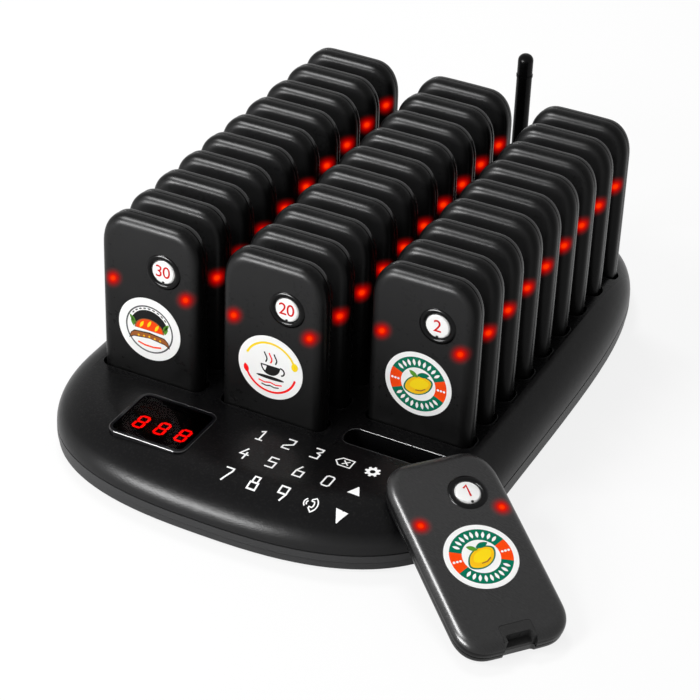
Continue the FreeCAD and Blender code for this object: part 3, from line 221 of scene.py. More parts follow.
def noise(tree, place, scale, detail, roughness=0.5):
    """Cloudy value."""
    node = add_node(tree, "ShaderNodeTexNoise",
                    {"Vector": place, "Scale": scale, "Detail": detail, "Roughness": roughness})
    return node.outputs["Fac"]


def parts_of(tree, vector):
    """The X, Y and Z sockets of a vector."""
    return add_node(tree, "ShaderNodeSeparateXYZ", {"Vector": vector}).outputs


def new_group(name, inputs, outputs):
    """Starts a node group with named sockets."""
    group = bpy.data.node_groups.new(name, "ShaderNodeTree")
    kinds = {"value": "NodeSocketFloat", "vector": "NodeSocketVector", "colour": "NodeSocketColor"}
    for label, kind, value in inputs:
        socket = group.interface.new_socket(label, in_out="INPUT", socket_type=kinds[kind])
        if value is not None:
            socket.default_value = value
    for label, kind in outputs:
        group.interface.new_socket(label, in_out="OUTPUT", socket_type=kinds[kind])
    return group, group.nodes.new("NodeGroupInput").outputs, group.nodes.new("NodeGroupOutput")


def use_group(tree, group, **inputs):
    """Places a group in a material with its own values."""
    return add_node(tree, "ShaderNodeGroup", {key.replace("_", " "): value for key, value in inputs.items()},
                    node_tree=group)

# %% [markdown]
# ### Moulded grain
# The mould's texture is a field of rounded bumps about half a millimetre apart. Noise alone looks
# like cloud, and cells alone look like scales, so the group mixes both. It puts out a height for
# a Bump node and a slow drift of tone for the colour.

# %% Grain group
grain_group, given, result = new_group(
    "moulded grain",
    [("Place", "vector", None), ("Bump spacing", "value", 0.6), ("Cells", "value", 0.5)],
    [("Height", "value"), ("Drift", "value")])
per_metre = math_node(grain_group, "DIVIDE", 1000.0, given["Bump spacing"])
cells = add_node(grain_group, "ShaderNodeTexVoronoi",
                 {"Vector": given["Place"], "Scale": per_metre, "Randomness": 1.0}, feature="SMOOTH_F1")
cloud = noise(grain_group, given["Place"], per_metre, 2.0, 0.6)
mixed = add_node(grain_group, "ShaderNodeMix",
                 {"Factor": given["Cells"], 2: cloud, 3: cells.outputs["Distance"]})
drift = noise(grain_group, given["Place"], 38.0, 3.0, 0.55)
set_inputs(grain_group, result, {"Height": mixed.outputs[0], "Drift": drift})
print("group", grain_group.name, "holds", len(grain_group.nodes), "nodes")

# %% [markdown]
# ### Handling marks and dust
# Fingers polish plastic in soft patches and leave faint streaks. Dust is paler and rougher, and
# it stays where a surface faces up. The group takes the surface's normal from outside, and puts
# out two masks: one to lower or raise the roughness, one to lighten the colour.

# %% Handling group
handling_group, given, result = new_group(
    "handling and dust",
    [("Place", "vector", None), ("Normal", "vector", None), ("Patch size", "value", 30.0),
     ("Dust amount", "value", 0.3)],
    [("Polish", "value"), ("Dust", "value")])
patch_scale = math_node(handling_group, "DIVIDE", 1000.0, given["Patch size"])
patches = noise(handling_group, given["Place"], patch_scale, 4.0, 0.65)
stretched = add_node(handling_group, "ShaderNodeMapping",
                     {"Vector": given["Place"], "Scale": (1.0, 6.0, 1.0), "Rotation": (0.0, 0.0, 0.6)})
streaks = noise(handling_group, stretched.outputs["Vector"], 420.0, 2.0)
polish = map_range(handling_group, math_node(handling_group, "MULTIPLY", patches, streaks), 0.12, 0.42)
not_down = math_node(handling_group, "MAXIMUM", parts_of(handling_group, given["Normal"])["Z"], 0.0)
upward = math_node(handling_group, "POWER", not_down, 3.0)
specks = map_range(handling_group, noise(handling_group, given["Place"], 900.0, 1.0), 0.52, 0.75)
specks_above = math_node(handling_group, "MULTIPLY", upward, specks)
settled = math_node(handling_group, "MULTIPLY", specks_above, given["Dust amount"])
set_inputs(handling_group, result, {"Polish": polish, "Dust": settled})
print("group", handling_group.name, "holds", len(handling_group.nodes), "nodes")

# %% [markdown]
# ### A pager's own coordinates
# The pagers change colour at set places: a light at each side, and a roll painted darker than the
# face, which is painted shade. Painting that would need unwrapped meshes. Because the slots stand on a grid,
# the place within any docked pager follows from the remainder after dividing by the pitch, so one group
# serves all of them. It also tells the pager's column, and how many rows back it stands.

# %% Docked coordinates group
docked_group, given, result = new_group(
    "docked pager coordinates",
    [("Place", "vector", None)],
    [("Local", "vector"), ("Row", "value"), ("Column", "value")])


def grid_step(value, offset, pitch):
    """Which step of the grid holds a value, and how far through the step it lies."""
    steps = math_node(docked_group, "DIVIDE", math_node(docked_group, "ADD", value, offset * MM), pitch * MM)
    return math_node(docked_group, "FLOOR", steps), math_node(docked_group, "FRACT", steps)


here = parts_of(docked_group, given["Place"])
column_number, through_x = grid_step(here["X"], 1.5 * COLUMN_PITCH, COLUMN_PITCH)
row_number, through_y = grid_step(here["Y"], 0.5 * ROW_PITCH - FIRST_ROW, ROW_PITCH)
aside = math_node(docked_group, "SUBTRACT", through_x, 0.5)
outward = math_node(docked_group, "SUBTRACT", 0.5, through_y)
local = add_node(docked_group, "ShaderNodeCombineXYZ",
                 {"X": math_node(docked_group, "MULTIPLY", aside, COLUMN_PITCH * MM),
                  "Y": math_node(docked_group, "SUBTRACT", here["Z"], SEAT * MM),
                  "Z": math_node(docked_group, "MULTIPLY", outward, ROW_PITCH * MM)})
set_inputs(docked_group, result, {"Local": local.outputs[0], "Row": row_number, "Column": column_number})
print("group", docked_group.name, "holds", len(docked_group.nodes), "nodes")

# %% [markdown]
# ### Red light through the shell
# Two small lights shine through the thin front shell, so each shows as a soft round glow with a
# hot orange middle, and no lens. A real lamp inside the solid would cost render time and stay
# hidden. Instead this group measures the distance from each light and turns it into an emission
# colour. The lights sit at both sides, so the X coordinate is mirrored and measured once. Seen at
# a slant a round glow turns into a leaning oval, so the group can shear it back a little.

# %% Light group
light_group, given, result = new_group(
    "light through the shell",
    [("Local", "vector", None), ("Aside", "value", 20.0), ("Up", "value", 68.8), ("Radius", "value", 5.0),
     ("Shear", "value", 0.0)],
    [("Glow", "colour"), ("Amount", "value")])
here = parts_of(light_group, given["Local"])
aside, height, radius = [math_node(light_group, "MULTIPLY", given[name], MM)
                         for name in ("Aside", "Up", "Radius")]
outward = math_node(light_group, "SUBTRACT", math_node(light_group, "ABSOLUTE", here["X"]), aside)
rise = math_node(light_group, "SUBTRACT", here["Y"], height)
rightward = math_node(light_group, "MULTIPLY", outward, math_node(light_group, "SIGN", here["X"]))
sheared = math_node(light_group, "SUBTRACT", rise,
                    math_node(light_group, "MULTIPLY", rightward, given["Shear"]))
depth = math_node(light_group, "SUBTRACT", here["Z"], FACE * MM)
offset = add_node(light_group, "ShaderNodeCombineXYZ", {"X": outward, "Y": sheared, "Z": depth})
apart = add_node(light_group, "ShaderNodeVectorMath", {0: offset.outputs[0]}, operation="LENGTH")
share = math_node(light_group, "DIVIDE", apart.outputs["Value"], radius)
nearness = math_node(light_group, "SUBTRACT", 1.0, share, clamp=True)
ramp = add_node(light_group, "ShaderNodeValToRGB", {"Fac": nearness})
ramp.color_ramp.interpolation = "EASE"
stops = ramp.color_ramp.elements
stops[0].color = (0.0, 0.0, 0.0, 1.0)
stops[1].color = (1.0, 0.055, 0.0, 1.0)
for position, red, green in ((0.14, 0.010, 0.0), (0.28, 0.055, 0.0), (0.42, 0.15, 0.0), (0.56, 0.32, 0.0),
                             (0.70, 0.62, 0.004), (0.84, 1.0, 0.028)):
    stops.new(position).color = (red, green, 0.0, 1.0)
set_inputs(light_group, result, {"Glow": ramp.outputs["Color"], "Amount": nearness})
print("group", light_group.name, "holds", len(light_group.nodes), "nodes")

# %% [markdown]
# ## The finishes
# One maker function builds what all plastics have in common: a colour that drifts and gathers
# dust, patches polished by hands in the roughness, and grain as a bump. It can also turn to a
# second colour between two heights, which the cover uses to paint light on its lower side. What is
# the same all over, such as the specular level or the metalness, is set straight on the shader's own socket.

# %% Plastic maker
def new_material(name):
    """Empty material with its output, shader, coordinates and normal at hand."""
    material = bpy.data.materials.new(name)
    material.use_nodes = True
    tree = material.node_tree
    tree.nodes.clear()
    output = tree.nodes.new("ShaderNodeOutputMaterial")
    shader = tree.nodes.new("ShaderNodeBsdfPrincipled")
    tree.links.new(shader.outputs[0], output.inputs[0])
    place = tree.nodes.new("ShaderNodeTexCoord").outputs["Object"]
    normal = tree.nodes.new("ShaderNodeNewGeometry").outputs["Normal"]
    return material, tree, shader, place, normal


def blend_colour(tree, factor, low, high, **settings):
    """Mixes two colours, each given as a socket or as three numbers."""
    low, high = [side if isinstance(side, bpy.types.NodeSocket) else [*side, 1.0] for side in (low, high)]
    node = add_node(tree, "ShaderNodeMix", {"Factor": factor, 6: low, 7: high}, data_type="RGBA", **settings)
    return node.outputs[2]


def wear(tree, grain, marks, duller, shinier, depth):
    """Shader inputs that every plastic has: roughness in patches, and grain as a bump."""
    bump = add_node(tree, "ShaderNodeBump",
                    {"Height": grain.outputs["Height"], "Strength": 1.0, "Distance": depth * MM})
    rough = map_range(tree, marks.outputs["Polish"], 0.0, 1.0, duller, shinier)
    return {"Roughness": rough, "Normal": bump.outputs[0]}


def surface(name, colour, roughness, spacing=0.6, depth=0.03, cells=0.5, drift=0.15, polish=0.1,
            dust=0.15, specular=0.5, metallic=0.0, dust_colour=(0.32, 0.31, 0.30), second=None):
    """Finish with grain, drift, handling marks and dust; second is (colour, its start, its full height)."""
    material, tree, shader, place, normal = new_material(name)
    grain = use_group(tree, grain_group, Place=place, Bump_spacing=spacing, Cells=cells)
    marks = use_group(tree, handling_group, Place=place, Normal=normal, Dust_amount=dust)
    toned = blend_colour(tree, grain.outputs["Drift"], [part * (1 - drift) for part in colour],
                         [min(1.0, part * (1 + drift)) for part in colour])
    if second:
        other, start, end = second
        reached = map_range(tree, parts_of(tree, place)["Z"], start * MM, end * MM)
        toned = blend_colour(tree, reached, toned, other)
    dusty = blend_colour(tree, marks.outputs["Dust"], toned, dust_colour)
    worn = wear(tree, grain, marks, roughness + polish / 2, roughness - polish / 2, depth)
    set_inputs(tree, shader,
               {"Base Color": dusty, "Specular IOR Level": specular, "Metallic": metallic, **worn})
    return material


# %% [markdown]
# ### Black plastics of the base
# The cover is a satin black with a fine grain that roughens its highlight. The rim of the display
# and the collars of the numbers are polished. Where two mould halves meet, an edge comes out as
# smooth as glass, so the lip of the free slot and the edge of the display's rim have finishes of
# their own. The tray is a paler black than the cover. The cover is painted paler low on its side,
# which is painted light, so its finish turns to a second colour with the height. A second piece would show a
# joint there.

# %% Base finishes
FINISHES = {
    "base_plastic": surface("base satin black", (0.003, 0.003, 0.0033), 0.27, spacing=0.7, depth=0.045,
                            cells=0.35, drift=0.12, polish=0.05, dust=0.02, specular=0.09),
    "bezel_plastic": surface("bezel polished black", (0.004, 0.004, 0.005), 0.14, spacing=1.5, depth=0.003,
                             drift=0.1, polish=0.04, dust=0.0, specular=0.10),
    "port_plastic": surface("port black", (0.008, 0.008, 0.008), 0.4, spacing=0.4, depth=0.015, dust=0.1,
                            specular=0.15),
    "rocker_plastic": surface("rocker polished black", (0.008, 0.008, 0.009), 0.2, spacing=1.2, depth=0.005,
                              dust=0.1, specular=0.3),
    "antenna_rubber": surface("antenna sleeve", (0.002, 0.002, 0.0022), 0.28, spacing=0.9, depth=0.010,
                              drift=0.2, dust=0.0, specular=0.07),
    "foot_rubber": surface("foot rubber", (0.018, 0.018, 0.018), 0.8, spacing=0.8, depth=0.05, dust=0.1,
                           specular=0.2),
    "contact_plastic": surface("contact block black", (0.018, 0.018, 0.018), 0.5, spacing=0.55, depth=0.08,
                               cells=0.8, dust=0.03, specular=0.12),
    "circuit_board": surface("green circuit board", (0.012, 0.09, 0.035), 0.35, spacing=1.6, depth=0.01,
                             drift=0.3, dust=0.05, specular=0.5),
    "battery_foil": surface("battery foil", (0.5, 0.52, 0.55), 0.4, spacing=2.2, depth=0.05, dust=0.0,
                            metallic=0.9),
    "display_block": surface("display block", (0.003, 0.0015, 0.0015), 0.95, spacing=0.9, depth=0.003,
                             polish=0.0, dust=0.0, specular=0.0),
}
COLLAR = surface("collar polished black", (0.0025, 0.0025, 0.0027), 0.18, spacing=1.1, depth=0.003, drift=0.1,
                 polish=0.04, dust=0.0, specular=0.12)
EDGE = surface("polished moulded edge", (0.010, 0.010, 0.011), 0.12, spacing=1.1, depth=0.003, drift=0.2,
               polish=0.06, dust=0.0, specular=0.45)
TRAY = surface("tray satin black", (0.046, 0.046, 0.047), 0.36, spacing=0.7, depth=0.03, cells=0.35,
               drift=0.08, polish=0.05, dust=0.02, specular=0.09)
# painted light: the cover turns to a paler colour low on its side
COVER = surface("cover satin black with painted light low on its side", (0.003, 0.003, 0.0033), 0.30, spacing=0.7, depth=0.07, cells=0.35,
                drift=0.12, polish=0.05, dust=0.02, specular=0.09,
                second=((0.017, 0.017, 0.0175), 19.5, 14.5))
RIM_EDGE = surface("polished rim edge", (0.02, 0.02, 0.021), 0.09, spacing=1.1, depth=0.002, drift=0.1,
                   polish=0.04, dust=0.0, specular=0.4)
print("plastics:", ", ".join(sorted(FINISHES)))

# %% [markdown]
# ### Metals
# The antenna's jack and the contacts are plated, the screws are zinc, and the radio's can is
# tinned. A metal's look is mostly its roughness, so it drifts more here, along with small
# scratches from the same grain group at a wider spacing.

# %% Metal finishes
FINISHES["jack_brass"] = surface("gold plated jack", (0.78, 0.57, 0.24), 0.28, spacing=0.35, depth=0.01,
                                 drift=0.2, polish=0.16, dust=0.05, metallic=1.0)
FINISHES["contact_gold"] = surface("plated contacts", (0.83, 0.62, 0.25), 0.25, spacing=0.3, depth=0.006,
                                   drift=0.15, polish=0.12, dust=0.0, metallic=1.0)
FINISHES["screw_steel"] = surface("zinc screws", (0.5, 0.5, 0.51), 0.35, spacing=0.3, depth=0.015, drift=0.2,
                                  polish=0.2, dust=0.05, metallic=1.0)
FINISHES["shield_metal"] = surface("tinned can", (0.62, 0.63, 0.64), 0.3, spacing=0.8, depth=0.01, drift=0.1,
                                   polish=0.15, dust=0.0, metallic=1.0)
print("finishes so far:", len(FINISHES))

# %% [markdown]
# ### Pager plastic
# The pagers are black with a finer grain than the base. Three things change over the surface. The
# face gets darker towards its lower end, a painted shade for where its neighbours and the base take
# the light. On the docked pagers the flat face is a soft grey and the roll round it is painted black,
# a painted shade that makes the roll darker than the face. And two lights glow through the front. A glow
# hides the reflection over it, so the same mask lowers the colour and, through the metalness, the plain
# reflection.
#
# The front pager of a column shows its lights on the face. Behind it only the edges of the cases
# are seen, so there the glow lies further out, on the roll, and rises a little from row to row.
# The side walls get a variant with a much darker colour, which is painted shade, and a little less
# shine. The docked pagers find their own coordinates through the grid, and the loose pager through its
# matrix, which a
# Mapping node undoes.

# %% Pager finish
PAGER_GREY = (0.019, 0.019, 0.0194)
# painted shade: colour of the docked pagers' roll, darker than the face
ROLL_SHADE = (0.0015, 0.0015, 0.0016)
DARK_BELOW = 18.0
LIGHT_ABOVE = 100.0
ROLL_BELOW = 3.6
GLOW = 1.0
GLOW_HIDES = (0.25, 0.75)
# painted shade: how dark a pager's face is painted at its lower end
LOW_END_SHADE = {"docked": 0.08, "loose": 0.6}
LIGHT_SHEAR = 0.285
LIGHT_ASIDE = 20.0
LIGHT_UP = 68.8
FURTHER_OUT = 4.0
ROW_RISE = 1.6
ROW_RISE_LOST = 0.65


def place_lights(tree, own, light):
    """Puts a docked pager's lights where its column and row show them."""
    right_column = math_node(tree, "GREATER_THAN", own.outputs["Column"], 1.5)
    behind = math_node(tree, "SUBTRACT", own.outputs["Row"], right_column, clamp=True)
    aside = math_node(tree, "ADD", LIGHT_ASIDE, math_node(tree, "MULTIPLY", behind, FURTHER_OUT))
    rise = math_node(tree, "SUBTRACT", ROW_RISE,
                     math_node(tree, "MULTIPLY", own.outputs["Column"], ROW_RISE_LOST))
    height = math_node(tree, "ADD", LIGHT_UP, math_node(tree, "MULTIPLY", own.outputs["Row"], rise))
    set_inputs(tree, light, {"Shear": LIGHT_SHEAR, "Aside": aside, "Up": height})


def pager_surface(name, colour, roughness=0.25, specular=0.3, glow=0.0, docked=True, spread=6.8):
    """Pager plastic, with lights where glow is over nothing."""
    material, tree, shader, place, normal = new_material(name)
    grain = use_group(tree, grain_group, Place=place, Bump_spacing=0.42, Cells=0.45)
    marks = use_group(tree, handling_group, Place=place, Normal=normal, Patch_size=22.0, Dust_amount=0.03)
    if docked:
        own = use_group(tree, docked_group, Place=place)
        local_place = own.outputs["Local"]
    else:
        undo = PLACES[1].inverted()
        local_place = add_node(tree, "ShaderNodeMapping",
                               {"Vector": place, "Location": undo.to_translation(),
                                "Rotation": undo.to_euler()}).outputs["Vector"]
    local = parts_of(tree, local_place)
    # painted shade: the colour darkens towards the pager's lower end
    height = map_range(tree, local["Y"], DARK_BELOW * MM, LIGHT_ABOVE * MM)
    low_end = LOW_END_SHADE["docked" if docked else "loose"]
    shaded = blend_colour(tree, height, [part * low_end for part in colour], colour)
    # painted shade: on docked pagers the roll round the face is painted near black
    if docked:
        flat = map_range(tree, local["Z"], ROLL_BELOW * MM, FACE * MM, interpolation_type="SMOOTHSTEP")
        shaded = blend_colour(tree, flat, ROLL_SHADE, shaded)
    drifting = blend_colour(tree, grain.outputs["Drift"], (0.0, 0.0, 0.0), (0.002, 0.002, 0.002))
    toned = blend_colour(tree, 1.0, shaded, drifting, blend_type="ADD")
    dusty = blend_colour(tree, marks.outputs["Dust"], toned, (0.3, 0.3, 0.29))
    look = {"Base Color": dusty, "Specular IOR Level": specular,
            **wear(tree, grain, marks, roughness + 0.05, roughness - 0.06, 0.003)}
    if glow:
        light = use_group(tree, light_group, Local=local_place, Radius=spread)
        if docked:
            place_lights(tree, own, light)
        hidden = map_range(tree, light.outputs["Amount"], *GLOW_HIDES)
        look.update({"Base Color": blend_colour(tree, hidden, dusty, (0.0, 0.0, 0.0)), "Metallic": hidden,
                     "Emission Color": light.outputs["Glow"], "Emission Strength": glow})
    set_inputs(tree, shader, look)
    return material


FINISHES["pager_plastic"] = pager_surface("docked pager grey", PAGER_GREY, 0.31, 0.08, glow=GLOW)
# painted shade: the docked pagers' side walls are painted much darker than the face
DOCKED_SHADED_SIDE = pager_surface("docked pager side with painted shade", (0.004, 0.004, 0.0042), 0.3, 0.06, glow=GLOW)
DOCKED_BACK = pager_surface("docked pager back", (0.003, 0.003, 0.0031))
LOOSE_FRONT = pager_surface("loose pager face", (0.016, 0.016, 0.0163), 0.28, 0.3, glow=GLOW, docked=False,
                            spread=6.4)
# painted shade: the loose pager's side walls are painted darker than its face
LOOSE_SHADED_SIDE = pager_surface("loose pager side with painted shade", (0.006, 0.006, 0.0062), 0.3, 0.10, docked=False)
FINISHES["pager_back_plastic"] = pager_surface("loose pager back", (0.004, 0.004, 0.0042), docked=False)
print("pager finishes made, glow strength", GLOW)

# %% [markdown]
# ### White button, window, light bars and printing inks
# The number button is white moulded plastic. The display window is smoked and clear, so its light
# bars show through from below: a shader with transmission does that, while plain see-through
# alpha would lose the reflection. The bars and icons are made as thin meshes with inks of their
# own. The white ink of the icons and the rocker marks gives a little light, a painted glow that
# makes the print look brighter. A coloured ink hardly shines, because a white reflection over it would make
# it pale.

# %% Button, window and ink finishes
FINISHES["button_plastic"] = surface("white button", (0.78, 0.78, 0.77), 0.32, spacing=0.9, depth=0.006,
                                     drift=0.02, polish=0.05, dust=0.05, specular=0.5,
                                     dust_colour=(0.5, 0.5, 0.49))


def smoked_window():
    """Clear dark window with faint smears."""
    material, tree, shader, place, normal = new_material("smoked window")
    marks = use_group(tree, handling_group, Place=place, Normal=normal, Patch_size=12.0, Dust_amount=0.0)
    rough = map_range(tree, marks.outputs["Polish"], 0.0, 1.0, 0.07, 0.02)
    set_inputs(tree, shader, {"Base Color": (0.30, 0.12, 0.12, 1.0), "Transmission Weight": 1.0, "IOR": 1.07,
                              "Specular IOR Level": 0.5, "Roughness": rough})
    return material


def lit(name, colour, strength):
    """Surface that gives light, a little uneven like a moulded diffuser."""
    material, tree, shader, place, normal = new_material(name)
    grain = use_group(tree, grain_group, Place=place, Bump_spacing=1.1, Cells=0.3)
    uneven = blend_colour(tree, grain.outputs["Drift"], [part * 0.8 for part in colour], colour)
    set_inputs(tree, shader, {"Emission Color": uneven, "Base Color": uneven, "Emission Strength": strength,
                              "Roughness": 0.5, "Specular IOR Level": 0.0})
    return material


def ink(name, colour, specular=0.04):
    """Printing ink on plastic or vinyl, with faint grain."""
    return surface("ink " + name, colour, 0.42, spacing=0.5, depth=0.004, cells=0.2, drift=0.06, polish=0.06,
                   dust=0.01, specular=specular)


FINISHES["window_glass"] = smoked_window()
LIGHT_BAR = lit("red light bar", (1.0, 0.004, 0.002), 3.6)
INKS = {
    "white": ink("white", (0.90, 0.90, 0.89), 0.35),
    # painted light: the printed key white and the rocker marks glow a little to look brighter
    "key": lit("key white with painted glow", (0.86, 0.86, 0.86), 0.25),
    "number": ink("number red", (0.60, 0.004, 0.005)),
    "green": ink("green", (0.0, 0.155, 0.085)),
    "orange": ink("orange", (0.95, 0.065, 0.003)),
    "yellow": ink("yellow", (0.92, 0.52, 0.01)),
    "sun": ink("bright yellow", (0.95, 0.68, 0.01)),
    "red": ink("red", (0.92, 0.004, 0.004)),
    "black": ink("black", (0.012, 0.012, 0.012)),
    "grey": ink("grey", (0.10, 0.10, 0.105)),
    "brown": ink("brown", (0.33, 0.105, 0.028)),
    "leaf": ink("leaf green", (0.10, 0.30, 0.03)),
}
print("inks:", ", ".join(INKS))

# %% [markdown]
# ## Give the solids their finishes
# The record says which finish each solid has. Three solids get one of their own: the tray, which
# is paler than the rest of the base, the cover, whose colour turns paler low on its side as painted
# light, and the loose pager's front, which is plain because no neighbour shades it.

# %% Assign finishes
OWN_FINISH = {"pager_01_front_shell": LOOSE_FRONT, "lower_tray": TRAY, "top_cover": COVER}
for part in frame["record"]["subparts"]:
    node = NODES[part["node"]]
    node.data.materials.clear()
    node.data.materials.append(OWN_FINISH.get(part["node"], FINISHES[part["material_slot"]]))

# %% [markdown]
# ## Thin plates for everything printed or stuck on
# Stickers, icons and numbers could be images, but the model should stay sharp from close up and
# carry no picture files. So each is a thin plate with real edges. A sheet collects plates and
# bands of several inks into one mesh. Nearly every shape in this lesson is made of quads between
# rings of points, so one helper makes them all.

# %% Plate helpers
def new_mesh(name, corners, faces, *materials):
    """Mesh from corners in millimetres."""
    mesh = bpy.data.meshes.new(name)
    mesh.from_pydata([mm(*corner) for corner in corners], [], faces)
    for material in materials:
        mesh.materials.append(material)
    mesh.update()
    return mesh


def ring_faces(count, rings, start=0, round_trip=False):
    """Quads between rings of points, one after the other, and back to the first on a round trip."""
    faces = []
    for ring in range(rings if round_trip else rings - 1):
        low = start + ring * count
        high = start + (ring + 1) % rings * count
        faces += [[low + step, low + (step + 1) % count, high + (step + 1) % count, high + step]
                  for step in range(count)]
    return faces


class Sheet:
    """Collects plates in millimetres and turns them into one object."""

    def __init__(self):
        self.corners = []
        self.faces = []
        self.inks = []

    def plate(self, outline, low, high, name):
        """Closed plate between two heights; outline is a list of (x, y) that turns left."""
        start = len(self.corners)
        count = len(outline)
        self.corners += [(x, y, height) for height in (low, high) for x, y in outline]
        self.faces.append(list(range(start + count, start + 2 * count)))
        self.faces.append(list(reversed(range(start, start + count))))
        self.faces += ring_faces(count, 2, start)
        self.inks += [name] * (count + 2)

    def band(self, outer, inner, low, high, name, closed=True):
        """Closed band between two outlines with as many points each."""
        start = len(self.corners)
        count = len(outer)
        for line, height in ((outer, low), (inner, low), (outer, high), (inner, high)):
            self.corners += [(x, y, height) for x, y in line]
        steps = count if closed else count - 1
        for step in range(steps):
            after = (step + 1) % count
            a, b = start + step, start + after
            c, d = a + count, b + count
            self.faces += [[a, b, b + 2 * count, a + 2 * count], [d, c, c + 2 * count, d + 2 * count],
                           [a + 2 * count, b + 2 * count, d + 2 * count, c + 2 * count], [c, d, b, a]]
        if not closed:
            for step, turn in ((0, 1), (count - 1, -1)):
                a = start + step
                self.faces.append([a, a + 2 * count, a + 3 * count, a + count][::turn])
        self.inks += [name] * (len(self.faces) - len(self.inks))

    def mesh(self, name):
        """Mesh in metres, with one material slot for each ink."""
        used = sorted(set(self.inks))
        mesh = new_mesh(name, self.corners, self.faces, *[INKS[label] for label in used])
        mesh.polygons.foreach_set("material_index", [used.index(label) for label in self.inks])
        mesh.validate()
        mesh.update()
        return mesh


def place_piece(name, mesh, body, matrix=None):
    """Adds an object for a mesh, and lets it ride on a body."""
    piece = add_object(name, mesh, matrix)
    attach(piece, body)
    return piece


def arc(radius, start, end, steps, centre=(0.0, 0.0), squeeze=1.0):
    """Points along an arc, in degrees, turning left."""
    angles = [math.radians(start + (end - start) * step / steps) for step in range(steps + 1)]
    return [(centre[0] + radius * math.cos(angle), centre[1] + radius * squeeze * math.sin(angle))
            for angle in angles]


def disc(radius, centre=(0.0, 0.0), steps=48, squeeze=1.0):
    """Points round a circle or an ellipse."""
    return arc(radius, 0, 360, steps, centre, squeeze)[:-1]


def spot(radius, degrees):
    """Point at an angle on a circle."""
    return arc(radius, degrees, degrees, 1)[0]


def moved(points, centre):
    """Points shifted to a centre."""
    return [(x + centre[0], y + centre[1]) for x, y in points]


def turned(points, degrees, centre=(0.0, 0.0)):
    """Points turned about a centre."""
    angle = math.radians(degrees)
    return [(centre[0] + (x - centre[0]) * math.cos(angle) - (y - centre[1]) * math.sin(angle),
             centre[1] + (x - centre[0]) * math.sin(angle) + (y - centre[1]) * math.cos(angle))
            for x, y in points]


def stroke(sheet, line, width, low, high, name, closed=False):
    """Band of even width along a line, with mitred corners."""
    count = len(line)
    outer, inner = [], []
    for step, (x, y) in enumerate(line):
        before = line[step - 1] if closed or step else None
        after = line[(step + 1) % count] if closed or step < count - 1 else None
        sides = []
        for (ax, ay), (bx, by) in (((before or (x, y)), (x, y)), ((x, y), (after or (x, y)))):
            length = math.hypot(bx - ax, by - ay)
            if length > 1e-9:
                sides.append(((by - ay) / length, (ax - bx) / length))
        nx = sum(side[0] for side in sides) / len(sides)
        ny = sum(side[1] for side in sides) / len(sides)
        reach = width / 2 / max(0.35, nx * nx + ny * ny)
        outer.append((x + nx * reach, y + ny * reach))
        inner.append((x - nx * reach, y - ny * reach))
    sheet.band(outer, inner, low, high, name, closed)


def rounded_outline(half_x, half_y, corner, steps=8):
    """Points round a rectangle with rounded corners."""
    points = []
    for turn, (side_x, side_y) in enumerate(((1, 1), (-1, 1), (-1, -1), (1, -1))):
        centre = (side_x * (half_x - corner), side_y * (half_y - corner))
        points += arc(corner, 90 * turn, 90 * turn + 90, steps, centre)
    return points


print("plate helpers ready")

# %% [markdown]
# ## Stickers
# Each pager wears a round vinyl sticker with a shop's own design. These three are made up here:
# a lemon inside a green and orange ring, a steaming cup inside two arcs, and a loaf between
# leaves inside a thin grey ring. Every colour is a plate a few hundredths of a millimetre higher
# than the one below, as overprinted inks are. The layers' heights are called one to six.

# %% Sticker backing
STICKER_RADIUS = 17.1
STICKER_UP = 46.2
VINYL = 0.22
PRINT = 0.03
one, two, three, four, five, six = [VINYL + step * PRINT for step in range(1, 7)]


def sticker_backing():
    """White vinyl disc with a slightly rounded edge."""
    sheet = Sheet()
    sheet.plate(disc(STICKER_RADIUS, steps=96), 0.0, VINYL * 0.7, "white")
    sheet.plate(disc(STICKER_RADIUS - 0.12, steps=96), VINYL * 0.7, VINYL, "white")
    return sheet


def leaf_outline(length, width, centre, degrees):
    """Pointed oval."""
    points = []
    for side in (1, -1):
        for step in range(8):
            share = step / 8
            along = (share - 0.5) * side
            points.append((along * length, -side * width / 2 * math.sin(math.pi * share) ** 0.8))
    return turned(moved(points, centre), degrees, centre)


def arc_band(sheet, outer, inner, start, end, steps, name):
    """Part of a ring, printed straight on the vinyl."""
    sheet.band(arc(outer, start, end, steps), arc(inner, start, end, steps), VINYL, one, name, closed=False)


def scaled(points, across, upward, shift):
    """Points scaled about the middle, then shifted."""
    return moved([(x * across, y * upward) for x, y in points], shift)


print("sticker is", 2 * STICKER_RADIUS, "mm across")


# %% Lemon sticker
def lemon_sticker():
    """Green and orange ring round a lemon with two leaves."""
    sheet = sticker_backing()
    for start, end, name in ((24, 156, "green"), (156, 204, "orange"), (204, 336, "green"),
                             (336, 384, "orange")):
        arc_band(sheet, 14.6, 8.9, start, end, 24 if end - start > 60 else 10, name)
    for start in list(range(38, 150, 13)) + list(range(218, 330, 13)):
        sheet.plate(leaf_outline(3.6, 1.5, spot(11.75, start), start), one, two, "white")
    for start in (0, 180):
        for radius in (10.2, 11.75, 13.3):
            sheet.plate(disc(0.62, spot(radius, start), 12), one, two, "white")
    fruit = [(6.6 * math.cos(a) * (1 + 0.10 * abs(math.cos(a)) ** 9), 4.5 * math.sin(a))
             for a in [2 * math.pi * step / 40 for step in range(40)]]
    lemon = turned(fruit, 28)
    sheet.plate(scaled(lemon, 1.13, 1.13, (0, -0.6)), VINYL, one, "green")
    sheet.plate(moved(lemon, (0, -0.6)), one, two, "yellow")
    sheet.plate(scaled(lemon, 0.72, 0.62, (0.5, 0.1)), two, three, "sun")
    sheet.plate(leaf_outline(6.4, 2.8, (2.4, 5.6), 12), two, four, "green")
    sheet.plate(leaf_outline(5.4, 2.4, (-2.6, 5.0), 148), two, four, "leaf")
    stroke(sheet, [(-1.2, -3.6), (1.6, -3.2), (3.8, -1.6)], 0.5, three, four, "brown")
    return sheet


